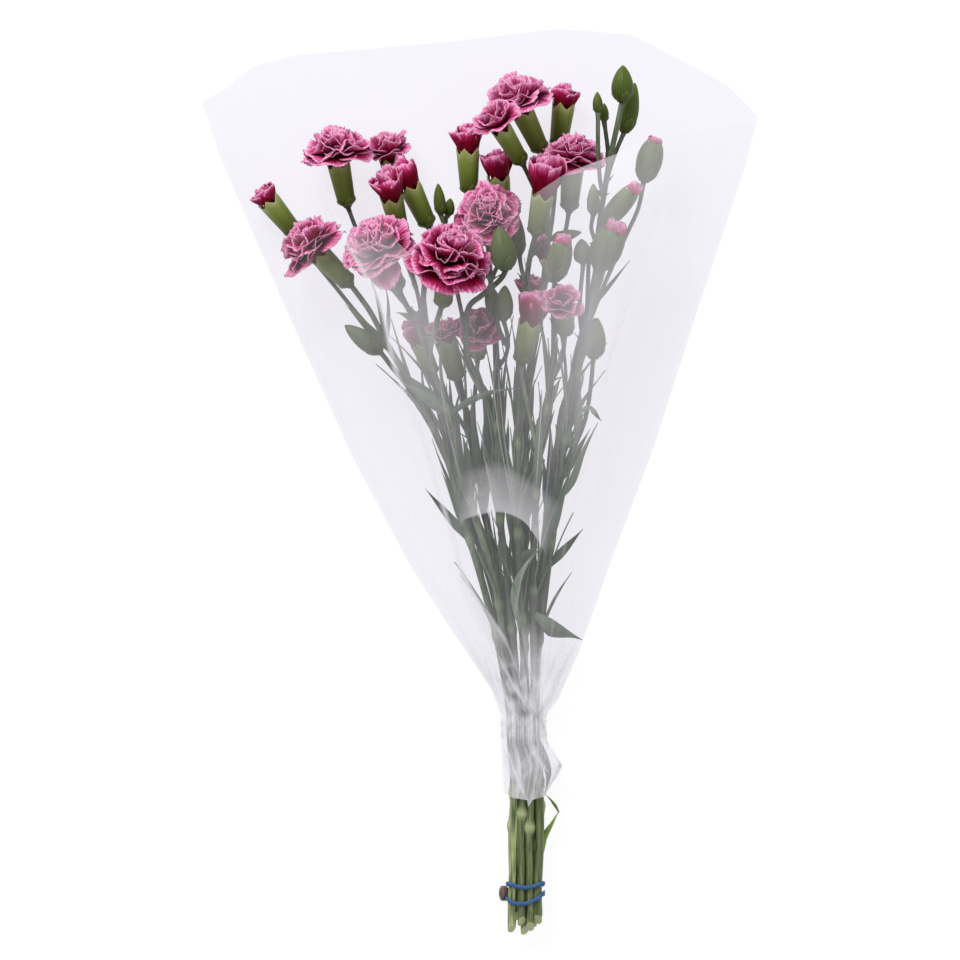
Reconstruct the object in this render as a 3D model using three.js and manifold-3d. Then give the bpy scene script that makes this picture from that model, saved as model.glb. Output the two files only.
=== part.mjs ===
// A bunch of spray carnations in a clear plastic sleeve, lying on the sleeve's flat back.
// Millimetres. +X is to the right, +Y runs from the cut stems to the blooms, +Z is up from the
// surface that the bunch lies on. The origin is on that surface, under the middle of the bunch.
import * as THREE from 'three';
import { mergeVertices } from 'three/addons/utils/BufferGeometryUtils.js';
import loadManifold from 'manifold-3d';

const wasm = await loadManifold();
wasm.setup();

// ---- Driving dimensions ----
const CLEARANCE = 0.35; // left between separate pieces
const STEM_RADIUS = 2.1; // at the cut end
const STEM_TOP_RADIUS = 1.5; // where the stem ends in its leading bloom
const SHOOT_RADIUS = 1.2;
const JOINT_SWELLING = 1.22; // radius of a stem joint over the stem's
const JOINT_HALF_LENGTH = 4;
const STEM_PITCH = 4.9; // between neighbours in the tied bundle
const ROW_PITCH = 4.4; // between the bundle's three rows
const BUNDLE_HEIGHT = 9; // of the bundle's middle row over the surface
const FAN_START = -133; // where the stems leave the sleeve's waist and fan out
const CALYX_LENGTH = 25;
const CALYX_RADIUS = 6.4;
const CALYX_WALL = 1.1;
const LEAF_THICKNESS = 0.8;
const PETAL_THICKNESS = 0.7;
const FILM_THICKNESS = 0.8;
const SEAM_HEIGHT = 1.8; // both films together at a side seam
const SEAM_WIDTH = 1.6;
const TAPE_THICKNESS = 0.8;
const BAND_WIDTH = 2.2;
const BAND_THICKNESS = 1.2;
const STEM_SIDES = 5;
const HEAD_SIDES = 2 * STEM_SIDES; // two for each of a calyx's five teeth

const COLOURS = {
  stem: new THREE.MeshStandardMaterial({ color: 0x7f9668, roughness: 0.55, metalness: 0 }),
  petal: new THREE.MeshStandardMaterial({ color: 0xc2437f, roughness: 0.7, metalness: 0 }),
  film: new THREE.MeshStandardMaterial({
    color: 0xf4f2f8, roughness: 0.15, metalness: 0, transparent: true, opacity: 0.3, side: THREE.DoubleSide,
  }),
  tape: new THREE.MeshStandardMaterial({
    color: 0xeeeeee, roughness: 0.25, metalness: 0, transparent: true, opacity: 0.5,
  }),
  band: new THREE.MeshStandardMaterial({ color: 0x2f6fb5, roughness: 0.6, metalness: 0 }),
  dryLeaf: new THREE.MeshStandardMaterial({ color: 0x8a7568, roughness: 0.9, metalness: 0 }),
};

// ---- The stems, their heads and their paths ----
// slot: place in the bundle, in half pitches across and in rows up. cut: Y of the cut end.
// path: where the stem runs above the sleeve's waist. Each shoot leaves the stem at its first
// point. A head's base is where its calyx or bud starts, and its aim is the middle of its
// petals, or the tip of a closed bud. joints: Y of the swollen joints that carry leaves.
const SPRAYS = [
  {
    name: 'spray_left', slot: [-3, 0], cut: -251, joints: [-195, -88, -34, 30],
    path: [
      [11, -96, 11], [2, -60, 16], [-10, -20, 18], [-18, 10, 19], [-29, 35, 20], [-41, 57, 21],
      [-52, 76, 22], [-62, 95, 22],
    ],
    head: { bloom: 'bloom_left_front', base: [-70, 106, 23], aim: [-98.5, 134, 28.5], radius: 19.5 },
    shoots: [
      {
        path: [[-52, 76, 22], [-66, 90, 13], [-84, 112, 5], [-97, 128, 6]],
        head: {
          halfOpen: 'bloom_far_left', base: [-104, 139, 10],
          aim: [-121.5, 160.5, 15], radius: 6.6, length: 24,
        },
      },
      {
        path: [[-36, 47, 21], [-47, 60, 28]],
        head: { base: [-56, 72, 32], aim: [-76, 87, 34], radius: 5.4 },
      },
    ],
  },
  {
    name: 'spray_upper_left', slot: [-1, 0], cut: -247, joints: [-98, -44, 10, 62],
    path: [
      [14.5, -96, 5.4], [6.5, -60, 7], [-5.5, -20, 8.5], [-14, 10, 9], [-22, 40, 9.5],
      [-28, 65, 10], [-32, 90, 11], [-31, 112, 14], [-27, 129, 17],
    ],
    head: { halfOpen: 'bloom_upper_left_back', base: [-28.5, 142.5, 20], aim: [-43, 173, 25], radius: 7.4 },
    shoots: [
      {
        path: [[-32, 90, 11], [-36, 108, 14], [-41, 125, 19]],
        head: {
          halfOpen: 'bloom_upper_left_front', base: [-44.5, 138, 24],
          aim: [-51.5, 167, 41], radius: 8.6,
        },
      },
      {
        path: [[-32, 90, 11], [-43, 100, 8], [-58, 120, 10], [-69, 140, 15]],
        head: { bloom: 'bloom_top_left', base: [-74.5, 154, 20], aim: [-82, 190, 27], radius: 19.5 },
      },
      {
        path: [[-36, 108, 14], [-43, 128, 9], [-45, 146, 5]],
        head: {
          bloom: 'bloom_top_left_small', base: [-46.5, 163, 6.8],
          aim: [-53.5, 196, 16], radius: 10.6, length: 23, calyx: 5.2,
        },
      },
    ],
  },
  {
    name: 'spray_front_left', slot: [-3, 2], cut: -253, joints: [-176, -70, -12, 40],
    path: [
      [9, -60, 24], [-3, -20, 31], [-11, 10, 36], [-17, 35, 40], [-23, 52, 43], [-28, 70, 47],
      [-25.5, 84, 50],
    ],
    head: { bloom: 'bloom_front', base: [-21, 96.5, 54], aim: [-15.5, 130, 80], radius: 22.5 },
    shoots: [
      {
        path: [[-28, 70, 47], [-35, 85, 41], [-40, 96, 34]],
        head: { bloom: 'bloom_front_left', base: [-45.5, 105, 30], aim: [-59, 132, 50], radius: 20 },
      },
    ],
  },
  {
    name: 'spray_front_middle', slot: [-1, 2], cut: -249, joints: [-188, -84, -22, 30],
    path: [
      [16, -60, 26], [11, -20, 34], [9, 10, 41], [8, 30, 44], [2, 48, 47], [-6, 66, 50],
      [-8, 82, 53], [-6, 97, 58], [1, 103, 63], [8, 108.5, 72], [12.5, 113, 82],
    ],
    head: { base: [14.5, 117, 88], aim: [10.5, 141, 90], radius: 7.2 },
    shoots: [
      {
        path: [[-8, 82, 53], [-11, 97, 46], [-16, 120, 41], [-20, 142, 43]],
        head: { base: [-22, 149, 46], aim: [-23.5, 166, 49], radius: 3.3 },
      },
      {
        path: [[-20, 142, 43], [-19.5, 146, 41]],
        head: { base: [-18, 148.5, 39], aim: [-16.5, 158, 38], radius: 3.2 },
      },
    ],
  },
  {
    name: 'spray_middle', slot: [1, 0], cut: -250, joints: [-202, -66, -20, 28],
    path: [[22, -60, 8], [17, -20, 9], [14, 10, 10], [10, 50, 13], [8, 90, 14], [6, 112, 13]],
    head: { bloom: 'bloom_middle', base: [4.5, 134, 14], aim: [4.5, 152.5, 45], radius: 16.8 },
    shoots: [
      {
        path: [[6, 112, 13], [0, 128, 8], [-4, 146, 9]],
        head: { halfOpen: 'bloom_middle_left', base: [-6, 161, 13], aim: [-7, 193, 18], radius: 8.5 },
      },
      {
        path: [[6, 112, 13], [11.5, 126, 8]],
        head: {
          halfOpen: 'bloom_middle_right', base: [13, 148, 11],
          aim: [9.6, 178, 17], radius: 6.8, length: 23,
        },
      },
      {
        path: [[9, 62, 13.5], [14.5, 70, 22], [15.5, 80, 38]],
        head: { base: [13, 90, 46], aim: [14, 109, 50], radius: 5.2 },
      },
      {
        path: [[15, 75, 30], [11, 84, 40]],
        head: { base: [9, 92, 42], aim: [5, 110, 44], radius: 4.6 },
      },
    ],
  },
  {
    name: 'spray_top', slot: [0, 1], cut: -254, joints: [-94, -46, 6, 60],
    path: [
      [25.5, -60, 17], [24, -20, 20], [25, 10, 23], [27, 50, 26], [31, 80, 26], [35, 105, 26],
      [37, 125, 26], [38, 145, 25], [37.5, 166, 25],
    ],
    head: { bloom: 'bloom_top', base: [35, 184, 26], aim: [19.5, 216, 30], radius: 20.8 },
    shoots: [
      {
        path: [[38, 145, 25], [32, 160, 35]],
        head: {
          bloom: 'bloom_top_front', base: [24, 177, 46.5],
          aim: [5, 207.5, 64], radius: 12.5, length: 26, calyx: 5.8,
        },
      },
      {
        path: [[37, 125, 26], [40.5, 145, 15], [43, 170, 8.5]],
        head: { halfOpen: 'bloom_top_right', base: [44, 187, 8.6], aim: [48, 217, 13], radius: 7.6 },
      },
      {
        path: [[35, 105, 26], [42, 124, 26], [48, 140, 27]],
        head: { bloom: 'bloom_right', base: [50, 151, 29], aim: [53, 187, 36.5], radius: 17.3 },
      },
    ],
  },
  {
    name: 'spray_right_buds', slot: [3, 0], cut: -246, joints: [-184, -74, -16, 40, 92],
    path: [
      [34, -60, 9], [38, -20, 12], [42, 10, 14], [50, 50, 16], [57, 75, 18], [62, 95, 20],
      [65, 115, 20], [66, 132, 21], [68, 150, 26], [70.5, 166, 37], [73, 181, 45], [76.5, 197, 49],
    ],
    head: { base: [79.5, 212, 51], aim: [80, 232, 53], radius: 6.2 },
    shoots: [
      {
        path: [[70.5, 166, 37], [75, 181, 35]],
        head: { base: [81, 195.5, 34], aim: [87, 223, 35], radius: 5.6 },
      },
      {
        path: [[69, 158, 31], [67, 170, 45], [66, 188, 52]],
        head: { base: [66, 205.5, 54], aim: [65.5, 217, 55], radius: 2.8 },
      },
      {
        path: [[72, 176, 43], [71.5, 186, 44]],
        head: { base: [69.5, 201, 45], aim: [69.5, 211, 46], radius: 2.6 },
      },
      {
        path: [[66, 132, 21], [62.5, 141, 34]],
        head: { base: [63.5, 149, 44], aim: [63.5, 166, 47], radius: 3.6 },
      },
    ],
  },
  {
    name: 'spray_right', slot: [2, 1], cut: -250, joints: [-206, -90, -36, 22, 60],
    path: [
      [37, -60, 18], [42, -20, 24], [46, 10, 29], [50.5, 35, 33], [55, 60, 36], [60, 85, 38],
      [63, 105, 42],
    ],
    head: { split: 'bud_tip_right', base: [66, 118, 47], aim: [77, 143, 51], radius: 9.2 },
    shoots: [
      {
        path: [[44, 0, 27], [52, 16, 32], [59, 34, 37], [62, 52, 41]],
        head: { base: [63.5, 68.5, 44], aim: [65.5, 91, 45], radius: 6.2 },
      },
      {
        path: [[60, 85, 38], [60.5, 108, 36], [62, 128, 35.5]],
        head: { split: 'bud_tip_far_right', base: [69, 143, 39], aim: [88, 165, 41], radius: 6.2 },
      },
      {
        path: [[60, 85, 38], [70, 110, 31], [81, 135, 28], [89, 153, 29]],
        head: { split: 'bud_tip_high_right', base: [92, 168, 30], aim: [98.5, 191.5, 31], radius: 7.6 },
      },
      {
        path: [[58, 75, 37.2], [56, 96, 32]],
        head: { base: [58, 122, 31], aim: [57, 135.5, 31], radius: 5.2 },
      },
    ],
  },
  {
    name: 'spray_low_right', slot: [3, 2], cut: -248, joints: [-170, -62, -8, 40],
    path: [
      [29.5, -60, 26], [31, -20, 33], [33, 10, 37], [38, 40, 39], [41, 65, 38], [41.5, 85, 37],
      [41, 99, 41],
    ],
    head: { split: 'bud_tip_low_right', base: [42, 112, 49], aim: [47, 136, 51], radius: 7.2 },
    shoots: [
      {
        path: [[40, 55, 38.7], [46, 68, 33]],
        head: {
          bloom: 'bloom_low_right_front', base: [48, 83, 33],
          aim: [46, 103, 59], radius: 9.2, length: 23,
        },
      },
      {
        path: [[33, 10, 37], [28, 35, 39], [24, 55, 39]],
        head: { bloom: 'bloom_low_right', base: [24, 72, 41], aim: [31, 106, 47], radius: 8.6, length: 24 },
      },
      {
        path: [[41.5, 85, 37], [42.5, 98, 34]],
        head: {
          halfOpen: 'bloom_low_right_small', base: [42, 111, 32],
          aim: [34.5, 130, 32.5], radius: 3.8, length: 14, calyx: 3.6,
        },
      },
    ],
  },
  {
    name: 'spray_inner_right', slot: [1, 2], cut: -252, joints: [-196, -78, -30, 20],
    path: [
      [22.5, -60, 31], [21, -20, 38], [21, 10, 38], [21.5, 40, 34], [22.5, 65, 29], [24, 90, 28],
      [26, 110, 31], [28, 125, 38],
    ],
    head: { halfOpen: 'bloom_right_front', base: [31, 137, 45], aim: [37.5, 172, 59], radius: 9 },
    shoots: [
      {
        path: [[26, 110, 31], [23.5, 118, 28]],
        head: { base: [22, 127, 26], aim: [20, 151, 27], radius: 4.3 },
      },
      {
        path: [[28, 125, 38], [34, 132.5, 40]],
        head: { base: [41, 135.5, 38], aim: [57, 139, 38], radius: 3.2 },
      },
      {
        path: [[22.5, 65, 29], [27, 74, 17]],
        head: {
          halfOpen: 'bloom_low_back', base: [30.5, 82, 11],
          aim: [29.5, 109, 14], radius: 7.2, length: 21,
        },
      },
    ],
  },
  {
    name: 'spray_low_left', slot: [-2, 1], cut: -246, joints: [-182, -56, -8],
    path: [[12, -60, 17], [3, -20, 21], [-2, 10, 24], [-6, 30, 25]],
    head: {
      bloom: 'bloom_low_middle', base: [-12.5, 56, 25],
      aim: [-22.5, 89.5, 32], radius: 9.6, length: 24,
    },
    shoots: [
      {
        path: [[-4, 22, 24.6], [-16, 42, 24]],
        head: {
          halfOpen: 'bloom_low_left', base: [-26, 59, 25],
          aim: [-36.5, 82.5, 28], radius: 7, length: 19, calyx: 5.2,
        },
      },
      {
        path: [[-6, 30, 25], [-3, 48, 15]],
        head: {
          bloom: 'bloom_low_front', base: [-1, 70, 10],
          aim: [-1, 86.5, 37], radius: 11.8, length: 23, calyx: 5.6,
        },
      },
    ],
  },
];

// The bundle's middle, by Y.
const BUNDLE_MIDDLE = [[-255, 25.4], [-165, 26.2], [-148, 24.6], [-133, 24.2]];

// The sleeve lying flat: its side seams, and its height over the surface, by Y.
const LEFT_SEAM = [
  [-184, 13.5], [-160, 12], [-148, 11.5], [-133, 11.5], [-118, 6], [-84, -17], [-50, -39],
  [14, -73], [101, -112], [182, -147], [214, -157.5], [250, -173],
];
const RIGHT_SEAM = [
  [-184, 38], [-161, 47], [-148, 38], [-133, 37.4], [-123, 45], [-98, 56], [-67, 67], [-36, 78],
  [17, 98], [95, 123], [143, 139], [176, 150], [205.5, 157.5], [250, 171],
];
const SLEEVE_HEIGHT = [
  [-184, 22], [-148, 22], [-133, 22], [-110, 26], [-70, 38], [-30, 48], [20, 62], [75, 73], [110, 75.5],
  [160, 77], [200, 66],
];
const BACK_LIFT = [[-148, 1.3], [-128, 1.3], [-112, 0], [0, 0]];
const FRONT_CREASE = 0.6; // share of the half width that the front's nearly flat middle takes
// Each line along the sleeve: its share of the half width, and the Y where the film ends.
const BACK_EDGE = [
  [-1, 214], [-0.9, 221], [-0.77, 234], [-0.62, 240], [-0.11, 247.5], [0.26, 255], [0.5, 252],
  [0.86, 223], [1, 205.5],
];
const FRONT_EDGE = [
  [1, 200], [0.96, 199], [0.86, 195], [0.6, 186], [0.31, 171], [0.18, 158], [0.14, 124], [0.07, 105],
  [-0.03, 102], [-0.15, 106], [-0.28, 110], [-0.42, 124], [-0.49, 147], [-0.6, 149], [-0.76, 177],
  [-0.88, 185], [-0.96, 184], [-1, 186],
];
const SKIRT_EDGE = [
  [-1, -177], [-0.6, -179], [0, -180], [0.12, -184], [0.24, -180], [0.75, -178], [0.9, -170], [1, -161],
];
const SLEEVE_STATIONS = [-148, -133, -119, -98, -60, -10, 50]; // Y that all lines share

const BAND_FRONT = [-229, -238.2]; // Y of the band's two turns on top of the stems
const BAND_BACK = [-232.6, -233.6]; // and below them, where they cross
const BAND_GAP = 0.5; // from the stems to the band
const BAND_CORNER_DEGREES = [9, 33, 57, 81]; // where its section stands round each corner stem
const TAPE_Y = [-147, -134];

// The dried leaf base: its middle, and along it the place and radius of each ring of its scroll.
const DRIED_BASE = [11, -232, 6];
const DRIED_RINGS = [[-4.2, 1.6], [-2.6, 3], [0.4, 3.5], [3, 2.6], [4.2, 1.2]];

// ---- Small helpers ----
const vector = ([x, y, z]) => new THREE.Vector3(x, y, z);

function interpolate(table, at) {
  let i = 1;
  while (i < table.length - 1 && table[i][0] < at) i += 1;
  const [[a, from], [b, to]] = [table[i - 1], table[i]];
  return from + ((to - from) * (at - a)) / (b - a);
}

const clampedInterpolate = (table, at) =>
  interpolate(table, Math.min(Math.max(at, table[0][0]), table[table.length - 1][0]));

function seededRandom(seed) {
  let state = seed;
  return () => {
    state = (state * 1664525 + 1013904223) % 4294967296;
    return state / 4294967296;
  };
}

const spread = (random, size) => (random() * 2 - 1) * size;

// A closed solid from points and triangles, turned the right side out.
function closedSolid(points, triangles) {
  const geometry = new THREE.BufferGeometry();
  geometry.setAttribute('position', new THREE.Float32BufferAttribute(points.flatMap((p) => p.toArray()), 3));
  geometry.setIndex(triangles);
  const merged = mergeVertices(geometry, 1e-4);
  const at = merged.getAttribute('position');
  const index = Array.from(merged.index.array);
  const [a, b, c] = [new THREE.Vector3(), new THREE.Vector3(), new THREE.Vector3()];
  let volume = 0;
  for (let i = 0; i < index.length; i += 3) {
    a.fromBufferAttribute(at, index[i]);
    b.fromBufferAttribute(at, index[i + 1]);
    c.fromBufferAttribute(at, index[i + 2]);
    volume += a.dot(b.cross(c));
  }
  if (volume < 0) index.reverse();
  return new wasm.Manifold(new wasm.Mesh({
    numProp: 3, vertProperties: new Float32Array(at.array), triVerts: new Uint32Array(index),
  }));
}

// The strip of triangles between two rings. They have equally many points, or one has twice as
// many as the other or is a single point. A flipped strip splits its quads the other way.
function stitch(a, b, aStart, bStart, flipped) {
  const at = (start, count, i) => start + (i % count);
  const triangles = [];
  const sides = Math.max(a.length, b.length);
  for (let j = 0; j < sides; j += 1) {
    const step = (ring) =>
      (ring.length === sides ? [j, j + 1] : [Math.ceil(j / 2), Math.ceil((j + 1) / 2)]);
    const [p, q] = step(a).map((i) => at(aStart, a.length, a.length === 1 ? 0 : i));
    const [r, t] = step(b).map((i) => at(bStart, b.length, b.length === 1 ? 0 : i));
    const split = flipped ? [[p, q, r], [q, t, r]] : [[p, q, t], [p, t, r]];
    triangles.push(...split.filter(([x, y, z]) => x !== y && y !== z && x !== z).flat());
  }
  return triangles;
}

// A solid through a stack of rings. Its two ends are closed flat where they aren't single points.
function loft(rings, flippedStrips = []) {
  const starts = rings.map((_, i) => rings.slice(0, i).reduce((count, ring) => count + ring.length, 0));
  const triangles = rings.slice(1).flatMap((next, i) =>
    stitch(rings[i], next, starts[i], starts[i + 1], flippedStrips.includes(i)));
  const end = starts[starts.length - 1];
  for (let j = 2; j < rings[0].length; j += 1) triangles.push(0, j, j - 1);
  for (let j = 2; j < rings[rings.length - 1].length; j += 1) triangles.push(end, end + j - 1, end + j);
  return closedSolid(rings.flat(), triangles);
}

// Two axes square to a direction.
function sideAxes(direction) {
  const across = Math.abs(direction.z) < 0.9 ? new THREE.Vector3(0, 0, 1) : new THREE.Vector3(1, 0, 0);
  const u = across.cross(direction).normalize();
  return [u, direction.clone().cross(u)];
}

function circle(centre, direction, radius, sides, turn = 0) {
  const [u, v] = sideAxes(direction);
  return Array.from({ length: sides }, (_, i) => {
    const angle = turn + (2 * Math.PI * i) / sides;
    return centre.clone()
      .addScaledVector(u, Math.cos(angle) * radius)
      .addScaledVector(v, Math.sin(angle) * radius);
  });
}

function meshGeometry(solid) {
  const { vertProperties, triVerts } = solid.getMesh();
  const geometry = new THREE.BufferGeometry();
  geometry.setAttribute('position', new THREE.BufferAttribute(vertProperties, 3));
  geometry.setIndex(new THREE.BufferAttribute(triVerts, 1));
  geometry.computeVertexNormals();
  return geometry;
}

// ---- The object, and what the leaves have to keep clear of ----
const bouquet = new THREE.Group();
const pieces = new Map(); // each node's solid, in the object's frame

function addPiece(name, solid, material, place = new THREE.Matrix4()) {
  const mesh = new THREE.Mesh(meshGeometry(solid), material);
  mesh.name = name;
  place.decompose(mesh.position, mesh.quaternion, mesh.scale);
  bouquet.add(mesh);
  pieces.set(name, solid.transform(place.elements));
}

// ---- Stems ----
function bundlePoint([column, row], y) {
  const x = clampedInterpolate(BUNDLE_MIDDLE, y) + (column * STEM_PITCH) / 2;
  return new THREE.Vector3(x, y, BUNDLE_HEIGHT + (row - 1) * ROW_PITCH);
}

function stemCurve(spray) {
  const tied = [spray.cut, -210, -165, -148, FAN_START].map((y) => bundlePoint(spray.slot, y));
  const free = spray.path.map(vector);
  return new THREE.CatmullRomCurve3([...tied, ...free, vector(spray.head.base)], false, 'centripetal');
}

// How far along a rising curve a given Y lies, from 0 to 1.
function alongAt(curve, y) {
  let [low, high] = [0, 1];
  for (let i = 0; i < 24; i += 1) {
    const middle = (low + high) / 2;
    if (curve.getPointAt(middle).y < y) low = middle;
    else high = middle;
  }
  return (low + high) / 2;
}

const tubeRings = (curve, stops, radiusAt) =>
  stops.map((t) => circle(curve.getPointAt(t), curve.getTangentAt(t), radiusAt(t), STEM_SIDES));

function stemRings(spray, curve) {
  const half = JOINT_HALF_LENGTH / curve.getLength();
  const joints = spray.joints.map((y) => alongAt(curve, y));
  const bends = spray.path.map(([, y]) => alongAt(curve, y));
  const plain = [0, alongAt(curve, -165), alongAt(curve, FAN_START), ...bends];
  const swollen = joints.flatMap((t) => [t - half, t, t + half]);
  const clear = plain.filter((t, i) =>
    [...swollen, ...plain.slice(0, i)].every((other) => Math.abs(t - other) > 3 * half));
  const stops = [...clear, ...swollen].sort((a, b) => a - b);
  const plainRadius = (t) => STEM_RADIUS + (STEM_TOP_RADIUS - STEM_RADIUS) * Math.max(0, t * 1.6 - 0.6);
  const radiusAt = (t) => plainRadius(t) * (joints.includes(t) ? JOINT_SWELLING : 1);
  return tubeRings(curve, stops, radiusAt);
}

// The nearest place on the stem or shoots grown so far, where a shoot starts.
function nearestOn(curves, point) {
  const places = curves.flatMap((curve) => curve.getSpacedPoints(160));
  return places.reduce((best, place) => (place.distanceTo(point) < best.distanceTo(point) ? place : best));
}

function shootCurve(shoot, curves) {
  const [start, ...rest] = [...shoot.path, shoot.head.base].map(vector);
  return new THREE.CatmullRomCurve3([nearestOn(curves, start), ...rest], false, 'centripetal');
}

function shootRings(curve) {
  const steps = curve.points.length < 4 ? 1 : 3;
  const stops = Array.from({ length: steps }, (_, i) => i / steps);
  return tubeRings(curve, stops, () => SHOOT_RADIUS);
}

// ---- Heads ----
const headAxis = (head) => vector(head.aim).sub(vector(head.base)).normalize();
const headLength = (head) => vector(head.aim).distanceTo(vector(head.base));

// A ring round the head's axis: how far from its base, and how wide.
const headRing = (head, along, across, sides = HEAD_SIDES) =>
  circle(vector(head.base).addScaledVector(headAxis(head), along), headAxis(head), across, sides);

const CALYX_FLOOR = 0.4; // how far up the calyx its hollow ends

// The green tube that holds a bloom's petals: five teeth round an open top.
function calyxRings(head) {
  const length = head.length ?? CALYX_LENGTH;
  const radius = head.calyx ?? CALYX_RADIUS;
  const inner = radius - CALYX_WALL;
  const rim = (across) => {
    const [tips, dips] = [headRing(head, length, across * 1.04), headRing(head, 0.86 * length, across)];
    return tips.map((tip, i) => (i % 2 ? dips[i] : tip));
  };
  const floor = vector(head.base).addScaledVector(headAxis(head), CALYX_FLOOR * length);
  return [headRing(head, 0.14 * length, radius * 0.93), rim(radius), rim(inner), [floor]];
}

function budRings(head) {
  const length = headLength(head);
  return [
    headRing(head, 0.12 * length, head.radius * 0.82), headRing(head, 0.42 * length, head.radius),
    headRing(head, 0.76 * length, head.radius * 0.66, STEM_SIDES), [vector(head.aim)],
  ];
}

// A bud that has just split: its tip is open, for the petal tips that show there.
const SPLIT_RIM = 0.74; // of the bud's length
const SPLIT_FLOOR = 0.5;
const SPLIT_WIDTH = 0.66; // of the bud's radius

function splitBudRings(head) {
  const length = headLength(head);
  const rim = head.radius * SPLIT_WIDTH;
  return [
    headRing(head, 0.12 * length, head.radius * 0.82), headRing(head, 0.42 * length, head.radius),
    headRing(head, SPLIT_RIM * length, rim), headRing(head, SPLIT_RIM * length, rim - 1),
    [vector(head.base).addScaledVector(headAxis(head), SPLIT_FLOOR * length)],
  ];
}

function headRings(head) {
  const start = headRing(head, 0, SHOOT_RADIUS * 1.4, STEM_SIDES);
  if (head.bloom || head.halfOpen) return [start, ...calyxRings(head)];
  return [start, ...(head.split ? splitBudRings(head) : budRings(head))];
}

// ---- Petals ----
// In the petals' own frame the origin is the middle of the calyx rim and +Z is the bloom's axis.
// Each layer of a bloom: how far its petals reach and rise, the wave of their edge, and the
// hollow between it and the next layer (its radius and height), all as shares of the bloom's radius.
const BLOOM_LAYERS = [
  { reach: 1.05, rise: 0.24, wave: 0.12, hollow: [0.34, 0.4] },
  { reach: 0.92, rise: 0.66, wave: 0.11, hollow: [0.26, 0.72] },
  { reach: 0.58, rise: 1.02, wave: 0.09 },
];
const SMALL_BLOOM_LAYERS = [BLOOM_LAYERS[0], { ...BLOOM_LAYERS[2], reach: 0.74, rise: 0.92 }];
const SMALL_BLOOM = 13; // blooms up to this radius have fewer, plainer layers
const PETALS_IN_LAYER = 5;
const BLOOM_CROWN = 0.92; // height of its middle, as a share of its radius
const LAYER_NOTCH = 0.6; // where neighbouring petals part, as a share of their reach

function petalPlace(head, rimAlong) {
  const axis = headAxis(head);
  const rim = vector(head.base).addScaledVector(axis, rimAlong);
  const turn = new THREE.Quaternion().setFromUnitVectors(new THREE.Vector3(0, 0, 1), axis);
  return new THREE.Matrix4().compose(rim, turn, new THREE.Vector3(1, 1, 1));
}

const polar = (radius, angle, z) => new THREE.Vector3(Math.cos(angle) * radius, Math.sin(angle) * radius, z);
const upright = (z, radius, sides) =>
  Array.from({ length: sides }, (_, i) => polar(radius, (2 * Math.PI * i) / sides, z));

// The lower and upper edge of one ring of petals, waved, and cut in where two petals meet.
function layerEdge(layer, radius, lobes, shift, random) {
  const points = lobes + 1;
  const sides = PETALS_IN_LAYER * points;
  const edge = [];
  for (let petal = 0; petal < PETALS_IN_LAYER; petal += 1) {
    const reach = layer.reach * radius * (1 + spread(random, 0.06));
    const rise = layer.rise * radius + spread(random, 0.05) * radius;
    for (let i = 0; i < points; i += 1) {
      const notch = i === 0;
      const wave = (i % 2 ? 1 : -1) * layer.wave * radius;
      const share = notch ? LAYER_NOTCH : 0.97 + 0.06 * (i % 2);
      edge[(petal * points + i + shift) % sides] = [reach * share, notch ? rise * 0.9 : rise + wave];
    }
  }
  const face = (side) =>
    edge.map(([r, z], i) => polar(r, (2 * Math.PI * i) / sides, z + (side * PETAL_THICKNESS) / 2));
  return [face(-1), face(1)];
}

function openPetals(head, random) {
  const { radius } = head;
  const length = head.length ?? CALYX_LENGTH;
  const lobes = radius > SMALL_BLOOM ? 3 : 2;
  const sides = PETALS_IN_LAYER * (lobes + 1);
  const layers = radius > SMALL_BLOOM ? BLOOM_LAYERS : SMALL_BLOOM_LAYERS;
  const rings = [[new THREE.Vector3(0, 0, -0.45 * length)], upright(0.8, petalNeck(head), sides)];
  const upperStrips = [];
  layers.forEach((layer, i) => {
    rings.push(...layerEdge(layer, radius, lobes, i * 2, random));
    upperStrips.push(rings.length - 1);
    if (layer.hollow) rings.push(upright(layer.hollow[1] * radius, layer.hollow[0] * radius, sides));
  });
  rings.push([new THREE.Vector3(0, 0, BLOOM_CROWN * radius)]);
  return loft(rings, upperStrips);
}

const petalNeck = (head) => ((head.calyx ?? CALYX_RADIUS) - CALYX_WALL) * 0.9 - CLEARANCE;

// Petals still upright: one ruffled brush that widens above the calyx.
function uprightPetals({ neck, depth, radius, height, sides }, random) {
  const ruffle = (z, across, depthOfFold) =>
    Array.from({ length: sides }, (_, i) => {
      const fold = 1 + (i % 2 ? -depthOfFold : 0) + spread(random, 0.05);
      return polar(across * fold, (2 * Math.PI * i) / sides, z * (1 + spread(random, 0.06)));
    });
  return loft([
    [new THREE.Vector3(0, 0, -depth)], upright(1, neck, sides), ruffle(0.5 * height, 0.9 * radius, 0.2),
    ruffle(0.92 * height, radius, 0.26), ruffle(0.8 * height, 0.55 * radius, 0.3),
    [new THREE.Vector3(0, 0, height)],
  ]);
}

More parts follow.
